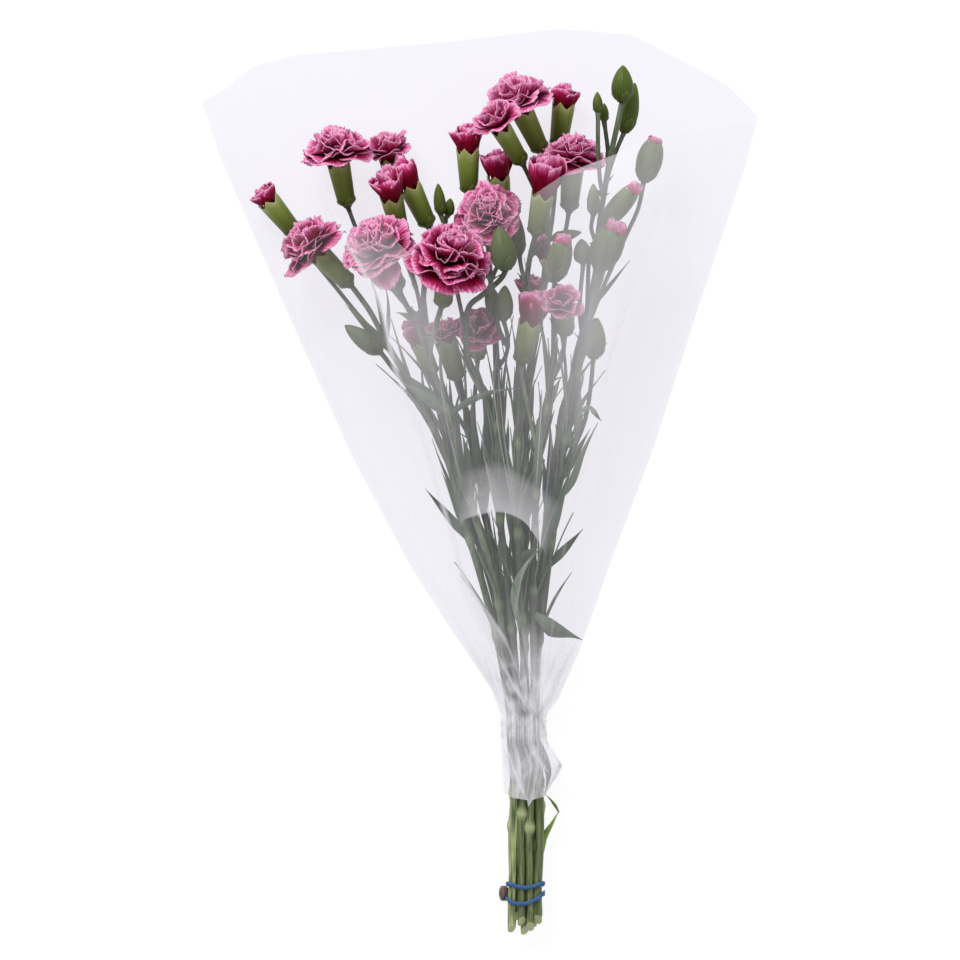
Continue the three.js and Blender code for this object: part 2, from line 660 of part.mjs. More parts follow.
function addPetals(head, random) {
  const length = head.length ?? CALYX_LENGTH;
  if (head.bloom) addPiece(head.bloom, openPetals(head, random), COLOURS.petal, petalPlace(head, length));
  if (head.halfOpen) {
    const shape = {
      neck: petalNeck(head), depth: 0.45 * length, radius: head.radius,
      height: 2 * (headLength(head) - length), sides: HEAD_SIDES,
    };
    addPiece(head.halfOpen, uprightPetals(shape, random), COLOURS.petal, petalPlace(head, length));
  }
  if (head.split) {
    const whole = headLength(head);
    const rim = head.radius * SPLIT_WIDTH;
    const shape = {
      neck: (rim - 1) * 0.9 - CLEARANCE, depth: (SPLIT_RIM - SPLIT_FLOOR) * whole - 3 * CLEARANCE,
      radius: rim * 0.85, height: (1 - SPLIT_RIM) * whole, sides: 8,
    };
    addPiece(head.split, uprightPetals(shape, random), COLOURS.petal, petalPlace(head, SPLIT_RIM * whole));
  }
}

// ---- Sleeve, tape and band ----
// Height of the front film over the back one, as a share of the sleeve's height: nearly flat
// between the two creases, then steeply down to the side seams.
function frontProfile(share) {
  const s = Math.abs(share);
  if (s <= FRONT_CREASE) return 1 - 0.1 * (s / FRONT_CREASE) ** 2;
  return 0.9 * ((1 - s) / (1 - FRONT_CREASE)) ** 0.35;
}

// A point of the sleeve: on its outer face with no inset, or that far inside or outside it.
function sleevePoint(share, y, front, inset) {
  const [left, right] = [interpolate(LEFT_SEAM, y), interpolate(RIGHT_SEAM, y)];
  const sideInset = inset > 0 ? SEAM_WIDTH : inset;
  const x = (left + right) / 2 + ((right - left) / 2 - sideInset) * share;
  const lift = clampedInterpolate(BACK_LIFT, y);
  if (!front) return new THREE.Vector3(x, y, lift + inset);
  const rise = (clampedInterpolate(SLEEVE_HEIGHT, y) - SEAM_HEIGHT) * frontProfile(share);
  return new THREE.Vector3(x, y, lift + SEAM_HEIGHT + rise - inset);
}

const SLEEVE_LINES = [
  ...BACK_EDGE.map(([share, top]) => ({ share, top, front: false })),
  ...FRONT_EDGE.map(([share, top]) => ({ share, top, front: true })),
];

function sleeveSolid() {
  const line = ({ share, top, front }, inset) => {
    const bottom = interpolate(SKIRT_EDGE, share);
    const [first, last] = [SLEEVE_STATIONS[0], SLEEVE_STATIONS[SLEEVE_STATIONS.length - 1]];
    const stations = [
      bottom, (bottom + first) / 2, ...SLEEVE_STATIONS,
      ...[0.5, 1].map((t) => last + (top - last) * t),
    ];
    return stations.map((y) => sleevePoint(share, y, front, inset));
  };
  const shell = (inset) => {
    const lines = SLEEVE_LINES.map((each) => line(each, inset));
    return lines[0].map((_, i) => lines.map((each) => each[i]));
  };
  return ringSolidOpen(shell(0), shell(FILM_THICKNESS));
}

// A thin shell between an outer and an inner stack of loops, open at both ends.
function ringSolidOpen(outer, inner) {
  const sides = outer[0].length;
  const points = [...outer.flat(), ...inner.flat()];
  const innerStart = outer.length * sides;
  const triangles = [];
  const quad = (a, b, c, d) => triangles.push(a, b, c, a, c, d);
  for (let j = 0; j < sides; j += 1) {
    const k = (j + 1) % sides;
    for (let i = 0; i + 1 < outer.length; i += 1) {
      const [a, b] = [i * sides + j, i * sides + k];
      quad(a, b, b + sides, a + sides);
      quad(innerStart + a + sides, innerStart + b + sides, innerStart + b, innerStart + a);
    }
    const last = (outer.length - 1) * sides;
    quad(innerStart + j, innerStart + k, k, j);
    quad(last + j, last + k, innerStart + last + k, innerStart + last + j);
  }
  return closedSolid(points, triangles);
}

// A closed ring whose section runs through the given loops in order and back to the first.
function ringSolid(loops) {
  const sides = loops[0].length;
  const start = (i) => (i % loops.length) * sides;
  const triangles = loops.flatMap((loop, i) => stitch(loop, loop, start(i), start(i + 1), i === 2));
  return closedSolid(loops.flat(), triangles);
}

function tapeSolid() {
  const loop = (y, inset) => SLEEVE_LINES.map(({ share, front }) => sleevePoint(share, y, front, inset));
  const [near, far] = [-CLEARANCE, -CLEARANCE - TAPE_THICKNESS];
  const [low, high] = TAPE_Y;
  return ringSolid([loop(low, near), loop(high, near), loop(high, far), loop(low, far)]);
}

// One turn of the band: a flat section swept round the bundle's rounded outline, lower on top
// of the stems than it is below them.
function bandTurn(frontY, backY) {
  const corners = [[3, 2], [-3, 2], [-3, 0], [3, 0]]; // the bundle's corner stems
  const loop = (inset, side) => corners.flatMap((corner, i) =>
    BAND_CORNER_DEGREES.map((degrees) => {
      const angle = (i * 90 + degrees) * (Math.PI / 180);
      const y = (frontY + backY) / 2 + ((frontY - backY) / 2) * Math.sin(angle);
      const out = STEM_RADIUS + BAND_GAP + inset;
      const offset = new THREE.Vector3(Math.cos(angle) * out, (side * BAND_WIDTH) / 2, Math.sin(angle) * out);
      return bundlePoint(corner, y).add(offset);
    }));
  return ringSolid([loop(0, -1), loop(0, 1), loop(BAND_THICKNESS, 1), loop(BAND_THICKNESS, -1)]);
}

const bandSolid = () =>
  BAND_FRONT.map((front, i) => bandTurn(front, BAND_BACK[i])).reduce((a, b) => a.add(b));

// The dried leaf base: a small curled scroll beside the stems.
function dryLeafSolid() {
  const lengthwise = new THREE.Vector3(0, 1, 0);
  return loft(DRIED_RINGS.map(([y, radius], i) => {
    const centre = vector(DRIED_BASE).add(new THREE.Vector3(-0.3 * i, y, 0.4 * i));
    return circle(centre, lengthwise, radius, 8).map((p, j) => p.lerp(centre, j % 2 ? 0.22 : 0));
  }));
}

// ---- Leaves ----
const LEAF_OUTLINE = [[0, 0.62], [0.4, 1], [1, 0.2]]; // how far along it, and its share of the width

// A leaf is a thin blade that leaves its joint along the stem and curves outwards.
function leafSolid({ root, along, outward, length, width, bend }) {
  const side = along.clone().cross(outward).normalize();
  return loft(LEAF_OUTLINE.map(([t, share]) => {
    const centre = root.clone()
      .addScaledVector(along, length * t)
      .addScaledVector(outward, bend * length * t * t);
    const tangent = along.clone().addScaledVector(outward, 2 * bend * t).normalize();
    const up = side.clone().cross(tangent);
    return [[-1, -1], [1, -1], [1, 1], [-1, 1]].map(([s, u]) =>
      centre.clone()
        .addScaledVector(side, (s * width * share) / 2)
        .addScaledVector(up, (u * LEAF_THICKNESS) / 2));
  }));
}

// Ways to try a leaf, from the one wanted to shorter ones that hug the stem more.
const LEAF_TRIES = [1, 0.8, 0.62, 0.45].flatMap((length) =>
  [1, 0.55, 0.2].flatMap((bend) => [0, 0.4, -0.4, 0.8, -0.8].map((turn) => ({ length, bend, turn }))));

function boxOf(solid) {
  const { min, max } = solid.boundingBox();
  return new THREE.Box3(vector(min), vector(max)).expandByScalar(CLEARANCE);
}

// The first try that keeps clear of every piece but the leaf's own stem.
function fittedLeaf(leaf, others) {
  for (const { length, bend, turn } of LEAF_TRIES) {
    const outward = leaf.outward.clone().applyAxisAngle(leaf.along, turn);
    const solid = leafSolid({ ...leaf, outward, length: leaf.length * length, bend: leaf.bend * bend });
    const box = boxOf(solid);
    const near = others.filter((other) => other.box.intersectsBox(box));
    if (near.every((other) => solid.minGap(other.solid, 1) >= CLEARANCE)) return solid;
  }
  return null;
}

const LEAF_LENGTH = 52;
const LEAF_WIDTH = 5;
const LEAF_BEND = 0.22; // how far a leaf's tip curves out, as a share of its length
const BARE_BELOW = -110; // the stems are stripped of leaves below this

// Single leaves that stand out: the stem each grows on, where it leaves the stem, and its tip.
const SINGLE_LEAVES = [
  { spray: 'spray_left', root: [-5, -35, 17], tip: [-31, -4.5, 23] },
  { spray: 'spray_left', root: [-49, 72, 22], tip: [-76, 99, 29] },
  { spray: 'spray_front_left', root: [-17.5, 37, 40.5], tip: [-42, 60, 45], width: 7 },
  { spray: 'spray_right', root: [61.5, 95, 40], tip: [84, 123, 44] },
  { spray: 'spray_right', root: [54, 22, 34], tip: [56, 56, 47] },
  { spray: 'spray_right', root: [44, -2, 27], tip: [62, 29, 36] },
  { spray: 'spray_right', root: [38, -48, 19], tip: [58, -27.5, 23] },
  { spray: 'spray_right', root: [34.5, -80, 16], tip: [53, -89, 13], width: 9 },
  { spray: 'spray_right_buds', root: [33.5, -212, 4.6], tip: [45, -187, 7], width: 6 },
];

// A leaf with its root and tip given.
function singleLeaf({ root, tip, width = LEAF_WIDTH }, curves) {
  const start = nearestOn(curves, vector(root));
  const along = vector(tip).sub(start);
  const length = along.length();
  along.normalize();
  const outward = new THREE.Vector3(0, 0, 1).addScaledVector(along, -along.z).normalize();
  return { root: start, along, outward, length, width, bend: LEAF_BEND / 3 };
}

// The pair of leaves that face each other at a joint of the stem.
function leafPair(curve, y, turn, random) {
  const t = alongAt(curve, y);
  const along = curve.getTangentAt(t);
  const [u, v] = sideAxes(along);
  return [turn, turn + Math.PI].map((angle) => {
    const outward = u.clone().multiplyScalar(Math.cos(angle)).addScaledVector(v, Math.sin(angle));
    return {
      root: curve.getPointAt(t).addScaledVector(outward, STEM_TOP_RADIUS / 3),
      outward,
      along: along.clone().addScaledVector(outward, LEAF_BEND / 2).normalize(),
      width: LEAF_WIDTH,
      length: LEAF_LENGTH * (1 + spread(random, 0.25)),
      bend: LEAF_BEND + spread(random, 0.12),
    };
  });
}

function addLeaves(sprays) {
  const random = seededRandom(11);
  for (const { name, solid, curves, joints } of sprays) {
    const others = [...pieces].filter(([other]) => other !== name)
      .map(([, piece]) => ({ solid: piece, box: boxOf(piece) }));
    const single = SINGLE_LEAVES.filter(({ spray }) => spray === name)
      .map((leaf) => singleLeaf(leaf, curves));
    const paired = joints.filter((y) => y > BARE_BELOW).flatMap((y, i) =>
      leafPair(curves[0], y, (i % 2) * (Math.PI / 2) + spread(random, 0.5), random));
    const fitted = [...single, ...paired].map((leaf) => fittedLeaf(leaf, others)).filter(Boolean);
    const grown = fitted.reduce((a, b) => a.add(b), solid);
    pieces.set(name, grown);
    addPiece(name, grown, COLOURS.stem);
  }
}

// ---- The build ----
const petalRandom = seededRandom(5);
const grownSprays = SPRAYS.map((spray) => {
  const curve = stemCurve(spray);
  const curves = [curve];
  const parts = [loft([...stemRings(spray, curve), ...headRings(spray.head)])];
  addPetals(spray.head, petalRandom);
  for (const shoot of spray.shoots) {
    curves.push(shootCurve(shoot, curves));
    parts.push(loft([...shootRings(curves[curves.length - 1]), ...headRings(shoot.head)]));
    addPetals(shoot.head, petalRandom);
  }
  const solid = parts.reduce((a, b) => a.add(b));
  pieces.set(spray.name, solid);
  return { ...spray, curves, solid };
});
addPiece('sleeve', sleeveSolid(), COLOURS.film);
addPiece('sleeve_tape', tapeSolid(), COLOURS.tape);
addPiece('rubber_band', bandSolid(), COLOURS.band);
addPiece('dried_leaf_base', dryLeafSolid(), COLOURS.dryLeaf);
addLeaves(grownSprays);

// The middle of the bunch's box comes to the origin, with its lowest face on the surface.
const extent = new THREE.Box3().setFromObject(bouquet, true);
const middle = extent.getCenter(new THREE.Vector3());
bouquet.position.set(-middle.x, -middle.y, -extent.min.z);

export default bouquet;
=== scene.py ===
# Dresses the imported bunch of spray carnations: green sprays, frilled petals, film, tape and band.
# The tables and shape functions use millimetres in the part's own frame: +X to the right, +Y from
# the cut stems to the blooms, +Z up from the surface. Shape.build turns them into frame metres.
import math
from itertools import product

import bpy
import numpy as np
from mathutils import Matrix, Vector
from mathutils.bvhtree import BVHTree


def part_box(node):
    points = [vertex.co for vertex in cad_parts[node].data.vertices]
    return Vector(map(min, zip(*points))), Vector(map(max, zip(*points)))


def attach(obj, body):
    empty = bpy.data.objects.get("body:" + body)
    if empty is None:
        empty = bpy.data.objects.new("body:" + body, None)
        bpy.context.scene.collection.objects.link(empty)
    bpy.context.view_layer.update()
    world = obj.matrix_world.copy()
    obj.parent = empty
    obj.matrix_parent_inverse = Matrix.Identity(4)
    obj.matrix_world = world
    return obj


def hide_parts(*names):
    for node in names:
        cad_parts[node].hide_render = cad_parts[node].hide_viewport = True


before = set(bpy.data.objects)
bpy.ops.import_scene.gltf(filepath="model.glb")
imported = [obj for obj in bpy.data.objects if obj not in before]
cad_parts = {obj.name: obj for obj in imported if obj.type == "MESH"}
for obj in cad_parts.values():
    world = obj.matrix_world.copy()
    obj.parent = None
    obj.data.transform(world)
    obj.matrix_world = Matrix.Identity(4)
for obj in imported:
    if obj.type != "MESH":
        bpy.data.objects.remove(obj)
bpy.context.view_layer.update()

MM = 0.001
BACK_EDGE_TOP = 255  # Y of the film's highest point in the tables
SHIFT = np.array([0.0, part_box("sleeve")[1][1] - BACK_EDGE_TOP * MM, 0.0])  # tables to frame

# ---- Driving dimensions, mm ----
STEM_RADIUS = 2.1
STEM_TOP_RADIUS = 1.5
SHOOT_RADIUS = 1.2
STEM_PITCH = 4.9  # from stem to stem in a row of the bundle
ROW_PITCH = 4.4
BUNDLE_HEIGHT = 9  # of the bundle's middle row
TIED_Y = (-210, -165, -148, -133)  # where the stems run side by side, before they fan out
CALYX_LENGTH = 25
CALYX_RADIUS = 6.4
SPLIT_RIM = 0.8  # of a split bud's length
LEAF_LENGTH = 52
LEAF_WIDTH = 5
LEAF_BEND = 0.22  # how far a leaf's tip turns off its first direction, of its length
BRACT_LENGTH = 7
BARE_BELOW = -110  # Y under which the joints have lost their leaves
CUT_SLANT = 1.0  # rise of a stem's cut face
FILM_THICKNESS = 0.8
SEAM_HEIGHT = 1.8
FRONT_CREASE = 0.6  # where the front film bends down, from its middle at 0 to a seam at 1
BAND_WIDTH = 2.2
BAND_THICKNESS = 1.2
BAND_GAP = 0.5  # from the stems

# ---- The camera, straight over the bunch ----
PHOTO_SPAN = 537.6  # mm that the picture's side covers
CAMERA_HEIGHT = 5000
SHARP_HEIGHT = 45  # height at which the picture's scale is exact
SENSOR = 36

FULL_TURN = 2 * math.pi


# ---- Small helpers ----
def unit(v):
    return v / np.linalg.norm(v, axis=-1, keepdims=True)


def interpolate(table, at):
    """Straight lines through the table's pairs, also past its ends."""
    xs, ys = np.array(table, float).T
    at = np.asarray(at, float)
    i = np.clip(np.searchsorted(xs, at), 1, len(xs) - 1)
    return ys[i - 1] + (ys[i] - ys[i - 1]) * (at - xs[i - 1]) / (xs[i] - xs[i - 1])


def clamped(table, at):
    return interpolate(table, np.clip(at, table[0][0], table[-1][0]))


def smooth_step(low, high, at):
    t = np.clip((np.asarray(at, float) - low) / (high - low), 0, 1)
    return t * t * (3 - 2 * t)


def source_random(seed):
    """The part's own seeded draws, which its leaves are placed by."""
    multiplier, step, size = 1664525, 1013904223, 2**32
    state = seed
    while True:
        state = (state * multiplier + step) % size
        yield state / size


def side_axes(direction):
    across = np.array([0.0, 0, 1]) if abs(direction[2]) < 0.9 else np.array([1.0, 0, 0])
    u = unit(np.cross(across, direction))
    return u, np.cross(direction, u)


def square_to(direction, angle):
    """The way out from a direction, at that angle round it."""
    u, v = side_axes(direction)
    return u * math.cos(angle) + v * math.sin(angle)


def angles_round(count):
    return np.linspace(0, FULL_TURN, count, endpoint=False)


class Head:
    """A bud or bloom in its own frame: its base, the axis to the point that it reaches, and two
    directions square to it."""

    def __init__(self, base, aim, radius, kind="closed", node=None, length=CALYX_LENGTH,
                 calyx=CALYX_RADIUS, rim=SPLIT_RIM, shade=None, tone=1.0):
        self.base = np.array(base, float)
        reach = np.array(aim, float) - self.base
        self.span = float(np.linalg.norm(reach))
        self.axis = reach / self.span
        self.u, self.v = side_axes(self.axis)
        self.radius = radius
        self.kind, self.node = kind, node
        self.length, self.calyx, self.rim = length, calyx, rim
        self.shade, self.tone = shade, tone

    def spot(self, along, across, angle):
        """Points that far along the axis and out from it, at that angle round it."""
        along, across, angle = np.broadcast_arrays(along, across, angle)
        return (self.base + along[..., None] * self.axis
                + (across * np.cos(angle))[..., None] * self.u
                + (across * np.sin(angle))[..., None] * self.v)


# ---- The sprays ----
def bud(*at, **more):
    return Head(*at, **more)


def bloom(name, *at, **more):
    return Head(*at, kind="open", node=f"bloom_{name}", **more)


def half_open(name, *at, **more):
    return Head(*at, kind="half_open", node=f"bloom_{name}", **more)


def split_bud(name, *at, **more):
    return Head(*at, kind="split", node=f"bud_tip_{name}", **more)


# Each spray: where its stem lies in the bundle, the Y of its cut end and of its swollen joints, the
# stem's path and head, and each side shoot's path and head. A head is written as its base, the
# point that it reaches and its radius.
SPRAYS = [
    dict(
        name="spray_left", slot=(-3, 0), cut=-251, joints=(-195, -88, -34, 30),
        path=[(11, -96, 11), (2, -60, 16), (-10, -20, 18), (-18, 10, 19), (-29, 35, 20), (-41, 57, 21),
              (-52, 76, 22), (-62, 95, 22)],
        head=bloom("left_front", (-72.5, 109.5, 23), (-101.5, 138, 28.5), 19.5, tone=1.7),
        shoots=[
            ([(-52, 76, 22), (-66, 90, 13), (-84, 112, 5), (-97, 128, 6)],
             half_open("far_left", (-104, 139, 10), (-121.5, 160.5, 15), 6.6, length=24)),
            ([(-36, 47, 21), (-47, 60, 28)], bud((-56, 72, 32), (-76, 87, 34), 5.4, shade=1.3)),
        ],
    ),
    dict(
        name="spray_upper_left", slot=(-1, 0), cut=-247, joints=(-98, -44, 10, 62),
        path=[(14.5, -96, 5.4), (6.5, -60, 7), (-5.5, -20, 8.5), (-14, 10, 9), (-22, 40, 9.5),
              (-28, 65, 10), (-32, 90, 11), (-31, 112, 14), (-27, 129, 17)],
        head=half_open("upper_left_back", (-28.5, 142.5, 20), (-43, 173, 25), 7.4),
        shoots=[
            ([(-32, 90, 11), (-36, 108, 14), (-41, 125, 19)],
             half_open("upper_left_front", (-44.5, 138, 24), (-51.5, 167, 41), 8.6)),
            ([(-32, 90, 11), (-43, 100, 8), (-58, 120, 10), (-69, 140, 15)],
             bloom("top_left", (-74.5, 154, 20), (-82, 190, 27), 19.5, tone=1.4)),
            ([(-36, 108, 14), (-43, 128, 9), (-45, 146, 5)],
             bloom("top_left_small", (-47, 159, 6.8), (-54, 192, 16), 12.9, length=23, calyx=5.2)),
        ],
    ),
    dict(
        name="spray_front_left", slot=(-3, 2), cut=-253, joints=(-176, -70, -12, 40),
        path=[(9, -60, 24), (-3, -20, 31), (-11, 10, 36), (-17, 35, 40), (-23, 52, 43), (-28, 70, 47),
              (-25.5, 84, 50)],
        # This bloom's high tone darkens its petals, partly as painted shade.
        head=bloom("front", (-21.3, 97.5, 53), (-14.5, 133, 79), 24.5, tone=2.8),
        shoots=[
            ([(-28, 70, 47), (-35, 85, 41), (-40, 96, 34)],
             bloom("front_left", (-45.5, 107, 30), (-59, 136, 50), 20.5, tone=1.3)),
        ],
    ),
    dict(
        name="spray_front_middle", slot=(-1, 2), cut=-249, joints=(-188, -84, -22, 30),
        path=[(16, -60, 26), (11, -20, 34), (9, 10, 41), (8, 30, 44), (2, 48, 47), (-6, 66, 50),
              (-8, 82, 53), (-6, 97, 58), (1, 103, 63), (8, 108.5, 72), (12.5, 113, 82)],
        head=bud((14.5, 117, 88), (10.5, 141, 90), 7.2, shade=1.25),
        shoots=[
            ([(-8, 82, 53), (-11, 97, 46), (-16, 120, 41), (-20, 142, 43)],
             bud((-22, 149, 46), (-23.5, 166, 49), 3.3)),
            ([(-20, 142, 43), (-19.5, 146, 41)], bud((-18, 148.5, 39), (-16.5, 158, 38), 3.2)),
        ],
    ),
    dict(
        name="spray_middle", slot=(1, 0), cut=-250, joints=(-202, -66, -20, 28),
        path=[(22, -60, 8), (17, -20, 9), (14, 10, 10), (10, 50, 13), (8, 90, 14), (6, 112, 13)],
        head=bloom("middle", (4.5, 134, 14), (4.5, 152.5, 45), 16.8, tone=1.3),
        shoots=[
            ([(6, 112, 13), (0, 128, 8), (-4, 146, 9)],
             half_open("middle_left", (-6, 161, 13), (-7, 193, 18), 8.5)),
            ([(6, 112, 13), (11.5, 126, 8)],
             half_open("middle_right", (13, 148, 11), (9.6, 178, 17), 6.8, length=23)),
            ([(9, 62, 13.5), (14.5, 70, 22), (15.5, 80, 38)], bud((13, 90, 46), (14, 109, 50), 5.2)),
            ([(15, 75, 30), (11, 84, 40)], bud((9, 92, 42), (5, 110, 44), 4.6)),
        ],
    ),
    dict(
        name="spray_top", slot=(0, 1), cut=-254, joints=(-94, -46, 6, 60),
        path=[(25.5, -60, 17), (24, -20, 20), (25, 10, 23), (27, 50, 26), (31, 80, 26), (35, 105, 26),
              (37, 125, 26), (38, 145, 25), (37.5, 166, 25)],
        head=bloom("top", (35, 184, 26), (19.5, 216, 30), 20.8),
        shoots=[
            ([(38, 145, 25), (32, 160, 35)],
             bloom("top_front", (24, 177, 46.5), (5, 207.5, 64), 12.5, length=26, calyx=5.8)),
            ([(37, 125, 26), (40.5, 145, 15), (43, 170, 8.5)],
             half_open("top_right", (44, 187, 8.6), (48, 217, 13), 7.6)),
            ([(35, 105, 26), (42, 124, 26), (48, 140, 27)],
             bloom("right", (50, 151, 29), (53, 187, 36.5), 17.3, tone=1.4)),
        ],
    ),
    dict(
        name="spray_right_buds", slot=(3, 0), cut=-246, joints=(-184, -74, -16, 40, 92),
        path=[(34, -60, 9), (38, -20, 12), (42, 10, 14), (50, 50, 16), (57, 75, 18), (62, 95, 20),
              (65, 115, 20), (66, 132, 21), (68, 150, 26), (70.5, 166, 37), (73, 181, 45),
              (76.5, 197, 49)],
        head=bud((79.5, 212, 51), (80, 232, 53), 6.2),
        shoots=[
            ([(70.5, 166, 37), (75, 181, 35)], bud((81, 195.5, 34), (87, 223, 35), 5.6)),
            ([(69, 158, 31), (67, 170, 45), (66, 188, 52)], bud((66, 205.5, 54), (65.5, 217, 55), 2.8)),
            ([(72, 176, 43), (71.5, 186, 44)], bud((69.5, 201, 45), (69.5, 211, 46), 2.6)),
            ([(66, 132, 21), (62.5, 141, 34)], bud((63.5, 149, 44), (63.5, 166, 47), 3.6)),
        ],
    ),
    dict(
        name="spray_right", slot=(2, 1), cut=-250, joints=(-206, -90, -36, 22, 60),
        path=[(37, -60, 18), (42, -20, 24), (46, 10, 29), (50.5, 35, 33), (55, 60, 36), (60, 85, 38),
              (63, 105, 42)],
        head=split_bud("right", (66, 118, 47), (77, 143, 51), 9.2),
        shoots=[
            ([(44, 0, 27), (52, 16, 32), (59, 34, 37), (62, 52, 41)],
             bud((63.5, 68.5, 44), (65.5, 91, 45), 6.2)),
            ([(60, 85, 38), (60.5, 108, 36), (62, 128, 35.5)],
             split_bud("far_right", (69, 143, 39), (88, 165, 41), 6.2)),
            ([(60, 85, 38), (70, 110, 31), (81, 135, 28), (89, 153, 29)],
             split_bud("high_right", (92, 168, 30), (98.5, 191.5, 31), 7.6, rim=0.9)),
            ([(58, 75, 37.2), (56, 96, 32)], bud((58, 122, 31), (57, 135.5, 31), 5.2)),
        ],
    ),
    dict(
        name="spray_low_right", slot=(3, 2), cut=-248, joints=(-170, -62, -8, 40),
        path=[(29.5, -60, 26), (31, -20, 33), (33, 10, 37), (38, 40, 39), (41, 65, 38), (41.5, 85, 37),
              (41, 99, 41)],
        head=split_bud("low_right", (42, 112, 49), (47, 136, 51), 7.2),
        shoots=[
            ([(40, 55, 38.7), (46, 68, 33)],
             bloom("low_right_front", (48, 83, 33), (46, 103, 59), 9.2, length=23)),
            ([(33, 10, 37), (28, 35, 39), (24, 55, 39)],
             half_open("low_right", (23, 65, 41), (30, 97.5, 47), 9.6, length=24)),
            ([(41.5, 85, 37), (42.5, 98, 34)],
             half_open("low_right_small", (42, 111, 32), (34.5, 130, 32.5), 3.8, length=14, calyx=3.6)),
        ],
    ),
    dict(
        name="spray_inner_right", slot=(1, 2), cut=-252, joints=(-196, -78, -30, 20),
        path=[(22.5, -60, 31), (21, -20, 38), (21, 10, 38), (21.5, 40, 34), (22.5, 65, 29), (24, 90, 28),
              (26, 110, 31), (28, 125, 38)],
        head=half_open("right_front", (31, 137, 45), (37.5, 172, 59), 9),
        shoots=[
            ([(26, 110, 31), (23.5, 118, 28)], bud((22, 127, 26), (20, 151, 27), 4.3)),
            ([(28, 125, 38), (34, 132.5, 40)], bud((41, 135.5, 38), (57, 139, 38), 3.2)),
            ([(22.5, 65, 29), (27, 74, 17)],
             half_open("low_back", (30.5, 82, 11), (29.5, 109, 14), 7.2, length=21)),
        ],
    ),
    dict(
        name="spray_low_left", slot=(-2, 1), cut=-246, joints=(-182, -56, -8),
        path=[(12, -60, 17), (3, -20, 21), (-2, 10, 24), (-6, 30, 25)],
        head=bloom("low_middle", (-12.5, 56, 25), (-22.5, 89.5, 32), 9.6, length=24),
        shoots=[
            ([(-4, 22, 24.6), (-16, 42, 24)],
             half_open("low_left", (-26, 59, 25), (-36.5, 82.5, 28), 7, length=19, calyx=5.2)),
            ([(-6, 30, 25), (-3, 48, 15)],
             bloom("low_front", (-1, 70, 10), (-1, 86.5, 37), 11.8, length=23, calyx=5.6)),
        ],
    ),
]

# Single leaves that stand out on each spray: where each leaves the stem, its tip and its width.
SINGLE_LEAVES = {
    "spray_left": [
        ((-5, -35, 17), (-31, -4.5, 23), LEAF_WIDTH), ((-49, 72, 22), (-76, 99, 29), LEAF_WIDTH),
    ],
    "spray_front_left": [
        ((-17.5, 37, 40.5), (-42, 60, 45), 7),
    ],
    "spray_right": [
        ((61.5, 95, 40), (84, 123, 44), 2.6), ((54, 22, 34), (56, 56, 47), LEAF_WIDTH),
        ((44, -2, 27), (62, 29, 36), LEAF_WIDTH), ((38, -48, 19), (58, -27.5, 23), LEAF_WIDTH),
        ((34.5, -80, 16), (53, -89, 13), 9),
    ],
}
# Leaves that stand out in full: the width and shade of each, and the points that it follows.
SEEN_LEAVES = {
    "spray_front_left": [
        (7.5, 0.3, [(-14, 38, 40), (-22, 41, 43), (-32, 48, 45), (-44, 55, 45)]),
        (4, 0.5, [(-17, 36, 41), (-8, 43, 46), (6, 49, 49), (22, 51.5, 50)]),
        (3.4, 0.1, [(-37, 89, 39), (-41, 92, 41), (-47, 94, 42)]),
        (3.4, 0.2, [(-37, 89, 39), (-34, 94, 41), (-30, 99, 43)]),
        (7, 0.7, [(-5, -10, 31), (-6, 8, 32), (-10, 26, 33)]),
    ],
    "spray_left": [
        (2.6, 0.4, [(-53, 77, 22), (-56.5, 97, 26), (-62, 115, 29)]),
        (2.6, 0.2, [(-52.4, 76, 22), (-51.5, 97, 27), (-53, 110, 30)]),
    ],
    "spray_inner_right": [
        (5.5, 0.0, [(23, -84, 26.5), (20, -62, 33), (25, -49, 36), (34, -38, 38)]),
        (5, 0.95, [(21.8, -46, 34), (26, -42, 38), (33, -37, 41)]),
    ],
    "spray_low_left": [
        (8, 0.9, [(2.5, -16, 20), (3, 6, 19), (4, 30, 18), (1, 50, 18)]),
    ],
    "spray_top": [
        (8, 0.9, [(24.5, -26, 18), (29.5, -4, 18), (31, 18, 17), (30, 38, 16)]),
    ],
    "spray_right": [
        (3, 0.1, [(62, 41, 40), (59, 40, 42), (55, 36, 42)]),
        (3, 0.1, [(62, 41, 40), (64, 38, 42), (68, 33, 42)]),
        (4.4, 0.2, [(43.5, -12, 25.5), (51, -2, 32), (58, 16, 37), (66, 32, 38)]),
        (3.4, 0.2, [(51, 18, 32), (50, 34, 34), (53, 48, 36), (57, 60, 37)]),
    ],
    "spray_low_right": [
        (7.5, 0.5, [(30, -75, 24), (40, -82, 26), (57.5, -90, 18)]),
        (5, 0.6, [(32.5, -146, 14), (35.5, -155, 14), (38.6, -166, 13), (36.5, -178, 12)]),
    ],
    "spray_right_buds": [
        (4.6, 1.8, [(33.4, -217, 6), (35.5, -203, 8), (41, -193, 10), (44.6, -186.5, 10)]),
        (1.6, 1.4, [(44.4, -187.5, 10), (43, -184.5, 10.6), (40, -180.5, 11.4), (36.6, -177, 12)]),
    ],
}

